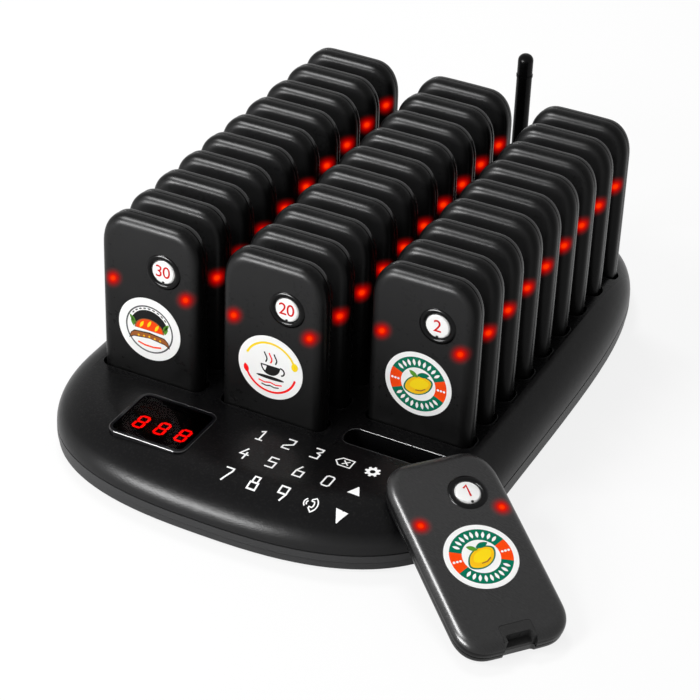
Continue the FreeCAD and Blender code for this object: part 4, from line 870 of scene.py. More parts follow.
# %% Cup sticker
def cup_sticker():
    """Yellow and red arcs round a steaming cup on its saucer."""
    sheet = sticker_backing()
    arc_band(sheet, 14.0, 12.9, 18, 158, 30, "sun")
    sheet.plate(disc(1.7, spot(13.45, 18), 20, 1.3), VINYL, two, "sun")
    arc_band(sheet, 14.0, 12.9, 202, 346, 30, "red")
    sheet.plate(leaf_outline(5.2, 2.6, spot(13.45, 197), 108), VINYL, two, "red")
    bowl = [(-5.2, 1.2)] + arc(5.2, 180, 360, 20, (0.0, 1.2), 1.05)[1:-1] + [(5.2, 1.2)]
    sheet.plate(bowl, VINYL, one, "black")
    sheet.plate([(-4.4, 0.5)] + arc(4.4, 180, 232, 8, (0.0, 0.9), 0.9)[1:] + [(-1.9, 0.5)], one, two, "white")
    stroke(sheet, arc(2.0, -80, 100, 12, (5.4, -0.8)), 0.8, VINYL, one, "black")
    sheet.plate(disc(7.4, (0.0, -5.6), 32, 0.13), VINYL, one, "black")
    for shift, name in ((-2.6, "black"), (0.0, "red"), (2.6, "black")):
        steam = [(shift + 0.7 * math.sin(step / 2.2), 2.6 + step * 0.55) for step in range(11)]
        stroke(sheet, steam, 0.75, VINYL, one, name)
    stroke(sheet, [(-6.2, -8.2), (-3.0, -8.9), (0.0, -8.2), (3.0, -8.9), (6.2, -8.2)], 0.7, VINYL, one, "red")
    stroke(sheet, [(-4.6, -10.0), (-2.2, -10.5), (0.0, -10.0), (2.2, -10.5), (4.6, -10.0)], 0.6, VINYL, three,
           "black")
    return sheet


# %% Loaf sticker
def loaf_sticker():
    """Thin grey ring round a loaf with leaves, on a brown ribbon."""
    sheet = sticker_backing()
    sheet.band(disc(13.1, steps=72), disc(12.3, steps=72), VINYL, one, "grey")
    sheet.plate(arc(10.6, 12, 168, 28) + [(-8.0, 0.4), (8.0, 0.4)], VINYL, one, "black")
    for step in range(9):
        angle = 40 + step * 12.5
        sheet.plate(leaf_outline(1.9, 0.8, spot(11.5, angle), angle + 90), VINYL, one, "grey")
    loaf = [(-8.2, -0.8)] + arc(8.2, 180, 0, 26, (0.0, -0.8), 0.86)[1:-1] + [(8.2, -0.8)]
    loaf.reverse()
    sheet.plate(scaled(loaf, 1.0, 0.92, (0, 0)), one, two, "brown")
    sheet.plate(scaled(loaf, 0.9, 0.84, (0, 0.1)), two, three, "orange")
    for shift in (-4.2, 0.0, 4.2):
        sheet.plate(leaf_outline(4.6, 1.5, (shift, 3.0 - abs(shift) * 0.26), 62), three, four, "sun")
    for side in (-1, 1):
        for tilt in (14, 40):
            sheet.plate(leaf_outline(5.2, 1.9, (side * 9.2, 1.2 + tilt / 16), 90 - side * tilt), two, four,
                        "leaf")
    ribbon = [(-11.4, -4.6), (-8.6, -3.0), (0.0, -1.9), (8.6, -3.0), (11.4, -4.6), (10.4, -1.2), (8.4, 0.6),
              (0.0, 1.5), (-8.4, 0.6), (-10.4, -1.2)]
    sheet.plate(moved(ribbon, (0, -3.2)), three, four, "black")
    inner = [(x * 0.95, (y + 0.6) * 0.72 - 0.7 - 3.2) for x, y in ribbon]
    sheet.plate(inner, four, five, "brown")
    for shift in (-6.0, -3.0, 0.0, 3.0, 6.0):
        sheet.plate(disc(0.55, (shift, -4.0 - abs(shift) * 0.12), 12), five, six, "yellow")
    stroke(sheet, [(-6.4, -8.6), (-2.4, -9.5), (2.4, -9.5), (6.4, -8.6)], 0.9, VINYL, one, "orange")
    return sheet


# %% Put a sticker on every pager
DESIGNS = [loaf_sticker().mesh("loaf_sticker"), cup_sticker().mesh("cup_sticker"),
           lemon_sticker().mesh("lemon_sticker")]
for number, place in PLACES.items():
    label = "pager_%02d" % number
    place_piece(label + "_sticker", DESIGNS[slot_of(number)[0]], label,
                place @ Matrix.Translation(mm(0, STICKER_UP, FACE)))
print("stickers:", len(PLACES), "designs:", [len(design.polygons) for design in DESIGNS])

# %% [markdown]
# ## Numbered discs
# Inside the black collar sits a white disc with the pager's number in red, and a small notch at
# its lower edge for lifting it out. The disc is a crowned plate: rings of points, the inner ones
# a little higher, give it the soft highlight that a flat plate would lack. Blender's text object
# makes the digits, turned into a mesh so that it can ride like any other piece.

# %% Discs and numbers
DISC_RADIUS = 5.55
DISC_CENTRE = (8.0, PAGER_LENGTH - 23.6)
CAP_TOP = FACE + 0.1
CAP_RADIUS = 6.05
CAP_BOTTOM = 3.2
NOTCH_DARK = 0.6
NOTCH_RISE = 0.75
CROWN = ((1.0, 0.0), (1.0, 0.16), (0.965, 0.24), (0.7, 0.30), (0.35, 0.33))
FIGURE_SIZE = 8.9
FIGURE_HIGH = 0.03
FIGURE_PLACE = (0, 0.5, 0.34)
WITH_BUTTON = (1, 2, 20, 30)


def disc_mesh():
    """Crowned disc with a notch in its lower edge."""
    outline = []
    for step in range(60):
        angle = -90 + step * 6
        x, y = DISC_RADIUS * math.cos(math.radians(angle)), DISC_RADIUS * math.sin(math.radians(angle))
        if step in (0, 1, 59):
            y += NOTCH_RISE
        outline.append((x, y))
    sheet = Sheet()
    for scale, height in CROWN:
        sheet.corners += [(x * scale, y * scale, height) for x, y in outline]
    count = len(outline)
    sheet.faces += ring_faces(count, len(CROWN))
    sheet.faces.append([(len(CROWN) - 1) * count + step for step in range(count)])
    sheet.faces.append(list(reversed(range(count))))
    sheet.inks = ["white"] * len(sheet.faces)
    sheet.plate(disc(NOTCH_DARK, (0.0, 0.15 - DISC_RADIUS), 20), 0.0, 0.3, "black")
    return sheet.mesh("number_disc")


def evaluated_mesh(holder):
    """Mesh that an object's text or modifiers give."""
    bpy.context.view_layer.update()
    return bpy.data.meshes.new_from_object(holder.evaluated_get(bpy.context.evaluated_depsgraph_get()))


def one_mesh():
    """The figure 1 with a clear flag, which the lettering draws too short to be seen."""
    sheet = Sheet()
    stroke(sheet, [(-1.3, 1.9), (0.5, 3.1), (0.5, -3.1)], 0.9, 0.0, 0.05, "number")
    return sheet.mesh("number_01")


def number_mesh(number):
    """Digits as a thin raised mesh, centred on the disc."""
    text = bpy.data.curves.new("digits", "FONT")
    text.body = str(number)
    text.size = FIGURE_SIZE * MM
    text.offset = 0.03 * MM
    text.align_x = "CENTER"
    text.align_y = "CENTER"
    text.extrude = FIGURE_HIGH * MM
    text.space_character = 0.92
    text.resolution_u = 4
    holder = add_object("digits", text)
    mesh = evaluated_mesh(holder)
    bpy.data.objects.remove(holder)
    mesh.name = "number_%02d" % number
    mesh.materials.clear()
    mesh.materials.append(INKS["number"])
    low = [min(vertex.co[axis] for vertex in mesh.vertices) for axis in (0, 1)]
    high = [max(vertex.co[axis] for vertex in mesh.vertices) for axis in (0, 1)]
    middle = Vector(((low[0] + high[0]) / 2, (low[1] + high[1]) / 2, 0))
    mesh.transform(Matrix.Translation(-middle))
    return mesh


cap = Sheet()
cap.plate(disc(CAP_RADIUS), CAP_BOTTOM - CAP_TOP, 0.0, "white")
shared_cap = cap.mesh("button_cap")
shared_disc = disc_mesh()
for number, place in PLACES.items():
    label = "pager_%02d" % number
    body = label + "_button" if number in WITH_BUTTON else label
    on_cap = place @ Matrix.Translation(mm(*DISC_CENTRE, CAP_TOP))
    place_piece(label + "_disc", shared_disc, body, on_cap)
    if number not in WITH_BUTTON:
        place_piece(label + "_cap", shared_cap, body, on_cap)
    digits = number_mesh(number) if number > 1 else one_mesh()
    place_piece(label + "_digits", digits, body,
                on_cap @ Matrix.Translation(mm(*FIGURE_PLACE)))
print("numbered discs:", len(PLACES))

# %% [markdown]
# ## Pager shells
# A pager's case is two moulded shells with a narrow groove between them. The front one is
# pillowed: its face rolls over to the side through a soft curve about five millimetres wide, and
# its upper corners are longer than they are wide. The plain solids have even corners and a small
# fillet, so both shells are drawn anew over them. A subdivided box would need many edge loops to
# hold that shape. Stacked outlines, each a little further in and higher, give it directly.

# %% Shell outline
HALF_WIDTH = PAGER_WIDTH / 2
HALF_LENGTH = PAGER_LENGTH / 2
TOP_CORNER = (14.0, 18.5)
LOW_CORNER = (14.0, 15.0)
CORNER_POWER = 2.3
SIDE_BOW = 0.008
END_BOW = 0.008
CORNER_STEPS = 14


def shell_outline(inset):
    """Pager's outline pulled in evenly, with longer corners at its upper end."""
    half_x, half_y = HALF_WIDTH - inset, HALF_LENGTH - inset
    points = []
    for turn, (side_x, side_y) in enumerate(((1, 1), (-1, 1), (-1, -1), (1, -1))):
        wide, high = TOP_CORNER if side_y > 0 else LOW_CORNER
        reach_x, reach_y = wide - inset, high - inset
        for step in range(CORNER_STEPS + 1):
            angle = math.pi / 2 * step / CORNER_STEPS
            if turn % 2:
                angle = math.pi / 2 - angle
            x = half_x - reach_x + reach_x * math.cos(angle) ** (2 / CORNER_POWER)
            y = half_y - reach_y + reach_y * max(0.0, math.sin(angle)) ** (2 / CORNER_POWER)
            points.append((side_x * x, side_y * y))
    even = []
    per_corner = CORNER_STEPS + 1
    for step, (x, y) in enumerate(points):
        even.append((x, y))
        after = points[(step + 1) % len(points)]
        if step % per_corner == CORNER_STEPS:
            on_long_side = step // per_corner % 2
            parts = 6 if on_long_side else 12
            even += [(x + (after[0] - x) * part / parts, y + (after[1] - y) * part / parts)
                     for part in range(1, parts)]
    return [(x * (1 - SIDE_BOW * (y / HALF_LENGTH) ** 2),
             HALF_LENGTH + y * (1 - END_BOW * (x / HALF_WIDTH) ** 2)) for x, y in even]


def stacked(name, levels):
    """Closed mesh through outlines at (inset, height) levels, from the lowest up."""
    rings = [[(x, y, height) for x, y in shell_outline(inset)] for inset, height in levels]
    count = len(rings[0])
    faces = [list(reversed(range(count))), [count * (len(rings) - 1) + step for step in range(count)]]
    corners = [corner for ring in rings for corner in ring]
    return new_mesh(name, corners, faces + ring_faces(count, len(rings)))


print("outline has", len(shell_outline(0.0)), "points")

# %% Shell profiles
SEAM_TOP = -1.0
SEAM_LOW = -1.8
SEAM_MIDDLE = (SEAM_TOP + SEAM_LOW) / 2
SEAM_DEPTH = 1.1
FACE_ROLL = (5.2, 4.4)
BACK_ROLL = (2.6, 2.1)
REAR_INSET = 0.3
ROLL_STEPS = 10


def rolled(start_inset, edge, roll, way):
    """Levels of a quarter ellipse from the side wall to a flat face at the height called edge."""
    levels = []
    for step in range(ROLL_STEPS + 1):
        angle = math.pi / 2 * step / ROLL_STEPS
        inset = start_inset + roll[0] * (1 - math.cos(angle))
        levels.append((inset, edge - way * roll[1] * (1 - math.sin(angle))))
    return levels


front_levels = [(SEAM_DEPTH, SEAM_MIDDLE), (SEAM_DEPTH, SEAM_TOP + 0.03), (0.35, SEAM_TOP),
                (0.08, SEAM_TOP + 0.1), (0.0, SEAM_TOP + 0.35)]
front_levels += rolled(0.0, FACE, FACE_ROLL, 1) + [(FACE_ROLL[0] + 0.4, FACE)]
back_levels = rolled(REAR_INSET, -FACE, BACK_ROLL, -1)
back_levels = [(BACK_ROLL[0] + REAR_INSET + 0.4, -FACE)] + list(reversed(back_levels))
back_levels += [(REAR_INSET, SEAM_LOW - 0.35), (REAR_INSET + 0.08, SEAM_LOW - 0.1),
                (REAR_INSET + 0.35, SEAM_LOW), (SEAM_DEPTH, SEAM_LOW - 0.03), (SEAM_DEPTH, SEAM_MIDDLE)]
print("levels in the front shell:", len(front_levels), "in the rear shell:", len(back_levels))

# %% [markdown]
# ### Openings in the shells
# The front shell has a round hole for the number button and a notch for the contact block, and
# the rear shell has the lower part of the notch and two screw recesses. A Boolean modifier
# subtracts a cutter for each, and its result is kept as a plain mesh, so nothing has to be
# computed again for the thirty copies.

# %% Cut the openings
NOTCH_HALF = 7.78
NOTCH_TOP = 10.5
NOTCH_LOW = 2.05
NOTCH_CORNER = 1.55
HOLE_RADIUS = 6.35
SCREW_PLACES = ((-19.0, 22.0), (19.0, 22.0))
SCREW_HOLE = 2.0
HOLE_FLOOR = 3.0
NOTCH_FLOOR = -3.0
SCREW_FLOOR = -4.0
OUTSIDE = 9.0
SHARP_OVER = math.radians(38)


def cutter(outline, low, high):
    """Closed prism to subtract."""
    sheet = Sheet()
    sheet.plate(outline, low, high, "black")
    return sheet.mesh("cutter")


def notch_cutter(top, low, high):
    """Prism for the notch, with rounded corners at its upper end and its lower end past the case."""
    past_end = 5.0
    outline = rounded_outline(NOTCH_HALF, top + past_end, NOTCH_CORNER)
    return cutter([(x, y - past_end) for x, y in outline], low, high)


def cut_away(mesh, cutters):
    """Subtracts the cutters and shades the rest smoothly, apart from its sharp edges."""
    body = add_object("cut body", mesh)
    tools = [add_object("tool", tool_mesh) for tool_mesh in cutters]
    for tool in tools:
        step = body.modifiers.new("cut", "BOOLEAN")
        step.operation = "DIFFERENCE"
        step.solver = "EXACT"
        step.object = tool
    result = evaluated_mesh(body)
    for leftover in tools + [body]:
        bpy.data.objects.remove(leftover)
    result.materials.clear()
    result.polygons.foreach_set("material_index", [0] * len(result.polygons))
    result.shade_smooth()
    result.set_sharp_from_angle(angle=SHARP_OVER)
    return result


button_hole = cutter(disc(HOLE_RADIUS, DISC_CENTRE, 64), HOLE_FLOOR, OUTSIDE)
front_shell = cut_away(stacked("front_shell", front_levels),
                       [button_hole, notch_cutter(NOTCH_TOP, NOTCH_FLOOR, OUTSIDE)])
screw_holes = [cutter(disc(SCREW_HOLE, place, 24), -OUTSIDE, SCREW_FLOOR) for place in SCREW_PLACES]
back_shell = cut_away(stacked("back_shell", back_levels),
                      screw_holes + [notch_cutter(NOTCH_LOW, -OUTSIDE, 0.0)])
print("front shell faces:", len(front_shell.polygons), "rear shell faces:", len(back_shell.polygons))

# %% [markdown]
# ### Collar round the button
# The number sits in a polished black ring that stands a little proud of the face. It is a
# profile turned round the button's axis: a soft outer shoulder, a crown, and a steep inner wall
# that ends in the dark gap round the button.

# %% Collar
COLLAR_PROFILE = [(9.4, FACE - 0.1), (9.3, FACE + 0.12), (8.95, FACE + 0.42), (8.4, FACE + 0.62),
                  (7.8, FACE + 0.69), (7.25, FACE + 0.62), (6.8, FACE + 0.36), (6.5, FACE - 0.1),
                  (6.38, FACE - 0.9), (6.36, FACE - 2.4)]


def turned_mesh(name, profile, centre, steps=64):
    """Open mesh made by turning a profile of (radius, height) about an upright axis."""
    corners = [(x, y, height) for radius, height in profile for x, y in disc(radius, centre, steps)]
    mesh = new_mesh(name, corners, ring_faces(steps, len(profile)))
    mesh.shade_smooth()
    return mesh


collar_mesh = turned_mesh("collar", COLLAR_PROFILE, DISC_CENTRE)
print("collar faces:", len(collar_mesh.polygons))

# %% [markdown]
# ### Thirty cases
# Each pager gets its own copy, moved to its place in the mesh itself. The finish of the docked
# pagers works out where a light sits from the place in the base, so the copies keep those
# coordinates. Below SIDE_TOP the wall is upright and gets the darker finish, which is painted shade. The
# contact block and the screws of the loose pager are solids of their own; the docked pagers borrow their
# shapes.

# %% Place the cases
def place_copy(mesh, label, part, matrix, slot_name, *finishes):
    """Gives a pager its own copy of a mesh, moved, with its own finishes."""
    name = label + "_" + part
    copy = mesh.copy()
    copy.name = name
    copy.transform(matrix)
    kept = [face.material_index for face in copy.polygons]
    copy.materials.clear()
    for finish in finishes:
        copy.materials.append(finish)
    if len(finishes) > 1:
        copy.polygons.foreach_set("material_index", kept)
    return place_piece(name, copy, label)


SIDE_TOP = 1.7


def split_sides(mesh, side_level):
    """Faces of the shell whose middle lies below a level get the second finish, the darker one with painted
    shade.
    """
    side = [1 if face.center.z < side_level * MM else 0 for face in mesh.polygons]
    mesh.materials.append(None)
    mesh.materials.append(None)
    mesh.polygons.foreach_set("material_index", side)


split_sides(front_shell, SIDE_TOP)
from_loose = PLACES[1].inverted()
for number, place in PLACES.items():
    label = "pager_%02d" % number
    loose = number == 1
    front_finishes = (LOOSE_FRONT, LOOSE_SHADED_SIDE) if loose else (FINISHES["pager_plastic"], DOCKED_SHADED_SIDE)
    back_finish = FINISHES["pager_back_plastic"] if loose else DOCKED_BACK
    front = place_copy(front_shell, label, "front", place, "pager_plastic", *front_finishes)
    back = place_copy(back_shell, label, "back", place, "pager_back_plastic", back_finish)
    place_copy(collar_mesh, label, "collar", place, "pager_plastic", COLLAR)
    if loose:
        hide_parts("pager_01_front_shell")
        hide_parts("pager_01_rear_shell")
        continue
    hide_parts(label)
    for part, finish in (("contact_block", "contact_plastic"), ("screws", "screw_steel")):
        place_copy(NODES["pager_01_" + part].data, label, part, place @ from_loose, finish, FINISHES[finish])
print("cases placed:", len(PLACES))

# %% [markdown]
# ## Slot rims
# Each slot's edge is not knife sharp: the cover turns down into it with a small rolled lip that
# catches a thin line of light. A bevel on the whole cover would touch edges that should stay as
# they are, so the lip is swept round the slot's outline as a piece of its own. The deck falls away
# towards its edges, so a ray cast down beside the slot tells how high each point of the lip lies.

# %% Height of the deck
deck_corners, deck_faces = [], []
for name in ("top_cover", "slot_module_1", "slot_modules"):
    deck = NODES[name].data
    deck_faces += [[len(deck_corners) + corner for corner in face.vertices] for face in deck.polygons]
    deck_corners += [vertex.co.copy() for vertex in deck.vertices]
deck_tree = BVHTree.FromPolygons(deck_corners, deck_faces)


def deck_height(x, y):
    """Height of the base's top over a point, in millimetres."""
    hit = deck_tree.ray_cast(mm(x, y, 60.0), Vector((0, 0, -1)))[0]
    return hit.z / MM if hit else BASE_TOP


print("deck height in the middle of the front:", round(deck_height(0.0, FIRST_ROW - 20), 2), "mm")

# %% Slot rims
SLOT_HALF_X = 28.3
SLOT_HALF_Y = 6.5
SLOT_CORNER = 5.0
BESIDE = 0.6
LIP = [(-0.10, -1.2), (-0.12, -0.30), (-0.05, -0.02), (0.10, 0.07), (0.30, 0.06), (0.50, 0.0), (0.50, -0.2),
       (0.2, -1.2)]


def lip_mesh(name, profile, loops, material, level=None):
    """Sweeps a profile of (outward, height) round outlines, over the deck or over one level."""
    corners, faces = [], []
    for centre, half_x, half_y, corner in loops:
        start = len(corners)
        beside = rounded_outline(half_x + BESIDE, half_y + BESIDE, corner + BESIDE)
        ground = [level if level else deck_height(centre[0] + x, centre[1] + y) for x, y in beside]
        for outward, height in profile:
            ring = rounded_outline(half_x + outward, half_y + outward, corner + outward)
            corners += [(centre[0] + x, centre[1] + y, under + height) for (x, y), under in zip(ring, ground)]
        faces += ring_faces(len(ring), len(profile), start, round_trip=True)
    mesh = new_mesh(name, corners, faces, material)
    mesh.shade_smooth()
    return mesh


slots = [((column * COLUMN_PITCH, FIRST_ROW + row * ROW_PITCH), SLOT_HALF_X, SLOT_HALF_Y, SLOT_CORNER)
         for column in (-1, 0, 1) for row in range(10)]
free_slot = [slot for slot in slots if slot[0] == (COLUMN_PITCH, FIRST_ROW)]
filled_slots = [slot for slot in slots if slot not in free_slot]
place_piece("slot_rims", lip_mesh("slot_rims", LIP, filled_slots, FINISHES["base_plastic"]), "base")
place_piece("free_slot_rim", lip_mesh("free_slot_rim", LIP, free_slot, EDGE), "base")
print("slot rims:", len(slots))

# %% [markdown]
# ### Edge of the display's rim
# The raised rim round the display shows a hair-thin bright line where its top turns over. The
# same sweep draws it, over one level: a low bead along the fillet of the solid rim.

# %% Display rim edge
RIM_CENTRE = (-40.9, FIRST_ROW - 35.4)
RIM_HALF_X = 21.0
RIM_HALF_Y = 18.0
RIM_CORNER = 5.5
RIM_BEAD = [(-0.46, 0.48), (-0.26, 0.555), (0.0, 0.48), (0.05, 0.40), (0.22, 0.05), (0.22, -0.05),
            (-0.40, 0.10)]
rim_loop = [(RIM_CENTRE, RIM_HALF_X, RIM_HALF_Y, RIM_CORNER)]
place_piece("display_rim_edge", lip_mesh("display_rim_edge", RIM_BEAD, rim_loop, RIM_EDGE, BASE_TOP), "base")
print("rim bead points:", len(RIM_BEAD))

# %% [markdown]
# ## Touch icons
# The keys are flat icons printed on the cover: a digit keypad, a delete key, a gear, two arrows
# and a handset. Each is drawn on a small grid with strokes of one width, as pad printing does.
# The front row lies where the cover starts to fall away, so after drawing, every point is dropped
# onto the cover by casting a ray down at it.

# %% Icon shapes
KEY_LEFT = 4.4
KEY_STEP_X = 14.55
KEY_STEP_Y = 16.6
KEY_BACK = FIRST_ROW - 21.2
KEY_STROKE = 0.85
ICON_STROKE = 0.65
HANDSET_STROKE = 0.62
INK_HIGH = 0.1
SUNK = 0.02
KEY_HALF = (2.0, 3.75)
w, h = KEY_HALF
DIGITS = {
    "1": [[(-1.5, 2.5), (0.3, h), (0.3, -h)], [(-1.6, -h), (2.1, -h)]],
    "2": [[(-w, h), (w, h), (w, 0.5), (-w, -1.9), (-w, -h), (w, -h)]],
    "3": [[(-w, h), (w, h), (w, 1.9), (0.2, 0.35), (w, -0.4), (w, -h), (-w, -h)]],
    "4": [[(0.2, h + 0.5), (-w, -0.6), (w + 0.5, -0.6)], [(1.0, 1.4), (1.0, -h - 0.5)]],
    "5": [[(w, h), (-w, h), (-w, 0.5), (w, 0.5), (w, -h), (-w, -h)]],
    "6": [[(-0.4, h + 0.5), (-w, 0.4), (-w, -h), (w, -h), (w, 0.4), (-w, 0.4)]],
    "7": [[(-w, h), (w, h), (w, 2.0), (-0.9, -h - 0.5)]],
    "8": [[(-w, -h), (w, -h), (w, 0.1), (-w, 0.1), (-w, -h), (-0.4, -h)],
          [(-1.35, 0.1), (-1.35, h), (1.35, h), (1.35, 0.1)]],
    "9": [[(0.4, -h - 0.5), (w, -0.4), (w, h), (-w, h), (-w, -0.4), (w, -0.4)]],
    "0": [[(-w, -h + 0.8), (-w + 0.8, -h), (w - 0.8, -h), (w, -h + 0.8), (w, h - 0.8), (w - 0.8, h),
           (-w + 0.8, h), (-w, h - 0.8), (-w, -h + 0.8), (-w + 0.8, -h)]],
}


def finely(line, longest=1.4):
    """The same line with its long runs divided, so that it can follow a curved surface."""
    points = [line[0]]
    for (ax, ay), (bx, by) in zip(line, line[1:]):
        parts = max(1, math.ceil(math.hypot(bx - ax, by - ay) / longest))
        points += [(ax + (bx - ax) * part / parts, ay + (by - ay) * part / parts)
                   for part in range(1, parts + 1)]
    return points


def print_line(line, centre, width, high=INK_HIGH, closed=False):
    """Stroke of ink on the cover."""
    stroke(icons, moved(line, centre), width, 0.0, high, "key", closed)


def draw_delete(centre):
    """Five-sided tag with a cross."""
    print_line([(-2.0, -2.9), (4.0, -2.9), (4.0, 2.9), (-2.0, 2.9), (-4.4, 0.0)], centre, ICON_STROKE,
               closed=True)
    print_line([(-0.7, -1.5), (2.3, 1.5)], centre, ICON_STROKE)
    print_line([(-0.7, 1.5), (2.3, -1.5)], centre, ICON_STROKE, INK_HIGH * 1.1)


def draw_gear(centre):
    """Ring with eight teeth."""
    icons.band(disc(2.85, centre, 32), disc(1.35, centre, 32), 0.0, INK_HIGH, "key")
    for tooth in range(8):
        block = [(2.5, -0.72), (3.75, -0.55), (3.75, 0.55), (2.5, 0.72)]
        icons.plate(moved(turned(block, 45 * tooth), centre), 0.0, INK_HIGH * 1.05, "key")


def draw_arrow(centre, turn=0):
    """Solid triangle with blunt corners, in three bands so that it can bend."""
    levels = [(-3.0, 3.1), (-1.1, 2.15), (0.8, 1.2), (2.9, 0.2)]
    for (low_y, low_half), (high_y, high_half) in zip(levels, levels[1:]):
        quad = [(-low_half, low_y), (low_half, low_y), (high_half, high_y), (-high_half, high_y)]
        icons.plate(moved(turned(quad, turn), centre), 0.0, INK_HIGH, "key")


def draw_handset(centre):
    """Outlined handset that bows to the right, and two waves on its left."""
    outside = arc(4.2, -58, 58, 12, (-0.8, 0.0))
    inside = arc(2.5, 36, -36, 8, (-0.8, 0.0))
    body = outside + [(-0.1, 2.2), (0.0, 1.5)] + inside + [(0.0, -1.5), (-0.1, -2.2)]
    print_line(body, centre, HANDSET_STROKE, closed=True)
    for radius in (1.2, 2.4):
        print_line(arc(radius, 125, 235, 6, (-0.9, 0.0)), centre, HANDSET_STROKE)


icons = Sheet()
LAYOUT = (("1", "2", "3", "delete", "gear"), ("4", "5", "6", "0", "up"), ("7", "8", "9", "handset", "down"))
DRAWINGS = {"delete": draw_delete, "gear": draw_gear, "up": draw_arrow, "handset": draw_handset}
for row, names in enumerate(LAYOUT):
    for column, name in enumerate(names):
        centre = (KEY_LEFT + column * KEY_STEP_X, KEY_BACK - row * KEY_STEP_Y)
        if name in DIGITS:
            for line in DIGITS[name]:
                print_line(finely(line), centre, KEY_STROKE)
        elif name == "down":
            draw_arrow(centre, 180)
        else:
            DRAWINGS[name](centre)
print("icon corners:", len(icons.corners))

# %% Drop the icons onto the cover
icons.corners = [(x, y, deck_height(x, y) - SUNK + z) for x, y, z in icons.corners]
place_piece("touch_icons", icons.mesh("touch_icons"), "base")
front_row = deck_height(KEY_LEFT, KEY_BACK - 2 * KEY_STEP_Y)
print("front row lies", round(BASE_TOP - front_row, 2), "mm below the top")

# %% [markdown]
# ## Display block and its light bars
# Under the smoked window lies a block with three seven-segment digits. The solid block has flat,
# sharp edges and square-on bars. Real blocks have slightly slanted digits with pointed bars set
# in a dark face, so the block is rebuilt with rounded edges and the bars are a piece that gives
# light. The new block stands in the same place as the solid that it replaces.

# %% Display block
block_low, block_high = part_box("display_module")
block_mesh = bpy.data.meshes.new("display_block")
shape = bmesh.new()
bmesh.ops.create_cube(shape, size=1.0)
size = block_high - block_low
for vertex in shape.verts:
    vertex.co = Vector((vertex.co.x * size.x, vertex.co.y * size.y, vertex.co.z * (size.z - 0.1 * MM)))
bmesh.ops.bevel(shape, geom=list(shape.edges), offset=0.5 * MM, segments=3, affect="EDGES", profile=0.5)
shape.to_mesh(block_mesh)
shape.free()
block_mesh.transform(Matrix.Translation((block_low + block_high) / 2 - mm(0, 0, 0.05)))
block_mesh.materials.append(FINISHES["display_block"])
display_block = place_piece("display_block", block_mesh, "base")
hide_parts("display_module")
print("display block", [round(part / MM, 1) for part in size], "mm")

# %% [markdown]
# ### Mask round the block
# The window is larger than the block, so round the block lies a black mask that hides the boards
# underneath. Light that enters through clear plastic and comes back out is also slow to render,
# and the mask keeps it from speckling the window.

# %% Display mask
MASK_INSET = 1.2
MASK_CORNER = 3.0
MASK_OVERLAP = 0.1
MASK_BELOW_BLOCK = 0.25
MASK_THICK = 0.3
window_low, window_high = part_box("display_window")
middle = (window_low + window_high) / 2 / MM
half = (window_high - window_low) / 2 / MM - Vector((MASK_INSET, MASK_INSET, 0))
opening = moved(rounded_outline(half.x, half.y, MASK_CORNER), middle)
hole = moved(rounded_outline(size.x / MM / 2 - MASK_OVERLAP, size.y / MM / 2 - MASK_OVERLAP, 0.6),
             (block_low + block_high) / 2 / MM)
mask = Sheet()
INKS["mask"] = FINISHES["display_block"]
mask_top = block_high.z / MM - MASK_BELOW_BLOCK
mask.band(opening, hole, mask_top - MASK_THICK, mask_top, "mask")
place_piece("display_mask", mask.mesh("display_mask"), "base")
print("mask", round(2 * half.x, 1), "by", round(2 * half.y, 1), "mm")

# %% Light bars
DIGIT_MIDDLE = (-40.8, -127.3)
DIGIT_PITCH = 11.4
DIGIT_HALF_H = 4.6
DIGIT_HALF_W = 2.3
BAR = 1.3
BAR_GAP = 0.15
BAR_DEEP = 0.6
SLANT = math.tan(math.radians(2))


def bar_outline(start, end):
    """Six-sided bar between two points, its ends pointed."""
    (ax, ay), (bx, by) = start, end
    length = math.hypot(bx - ax, by - ay)
    ux, uy = (bx - ax) / length, (by - ay) / length
    half = BAR / 2
    near, far = BAR_GAP, length - BAR_GAP
    points = [(near, 0), (near + half, -half), (far - half, -half), (far, 0), (far - half, half),
              (near + half, half)]
    return [(ax + ux * along - uy * side, ay + uy * along + ux * side) for along, side in points]


bars = Sheet()
INKS["light"] = LIGHT_BAR
w, h = DIGIT_HALF_W, DIGIT_HALF_H
BARS = [((-w, h), (w, h)), ((-w, 0), (w, 0)), ((-w, -h), (w, -h)), ((-w, 0), (-w, h)), ((w, 0), (w, h)),
        ((-w, -h), (-w, 0)), ((w, -h), (w, 0))]
bar_top = block_high.z / MM
for digit in (-1, 0, 1):
    for start, end in BARS:
        outline = [(DIGIT_MIDDLE[0] + digit * DIGIT_PITCH + x + y * SLANT, DIGIT_MIDDLE[1] + y)
                   for x, y in bar_outline(start, end)]
        bars.plate(outline, bar_top - BAR_DEEP, bar_top, "light")
place_piece("display_bars", bars.mesh("display_bars"), "base")
print("light bars:", 3 * len(BARS))

# %% [markdown]
# ## Marks on the power switch
# The rocker at the back has two facets that meet in a shallow valley. The usual bar and ring
# stand for on and off. Both are thin plates laid on the facets, turned with the rocker's tilt.

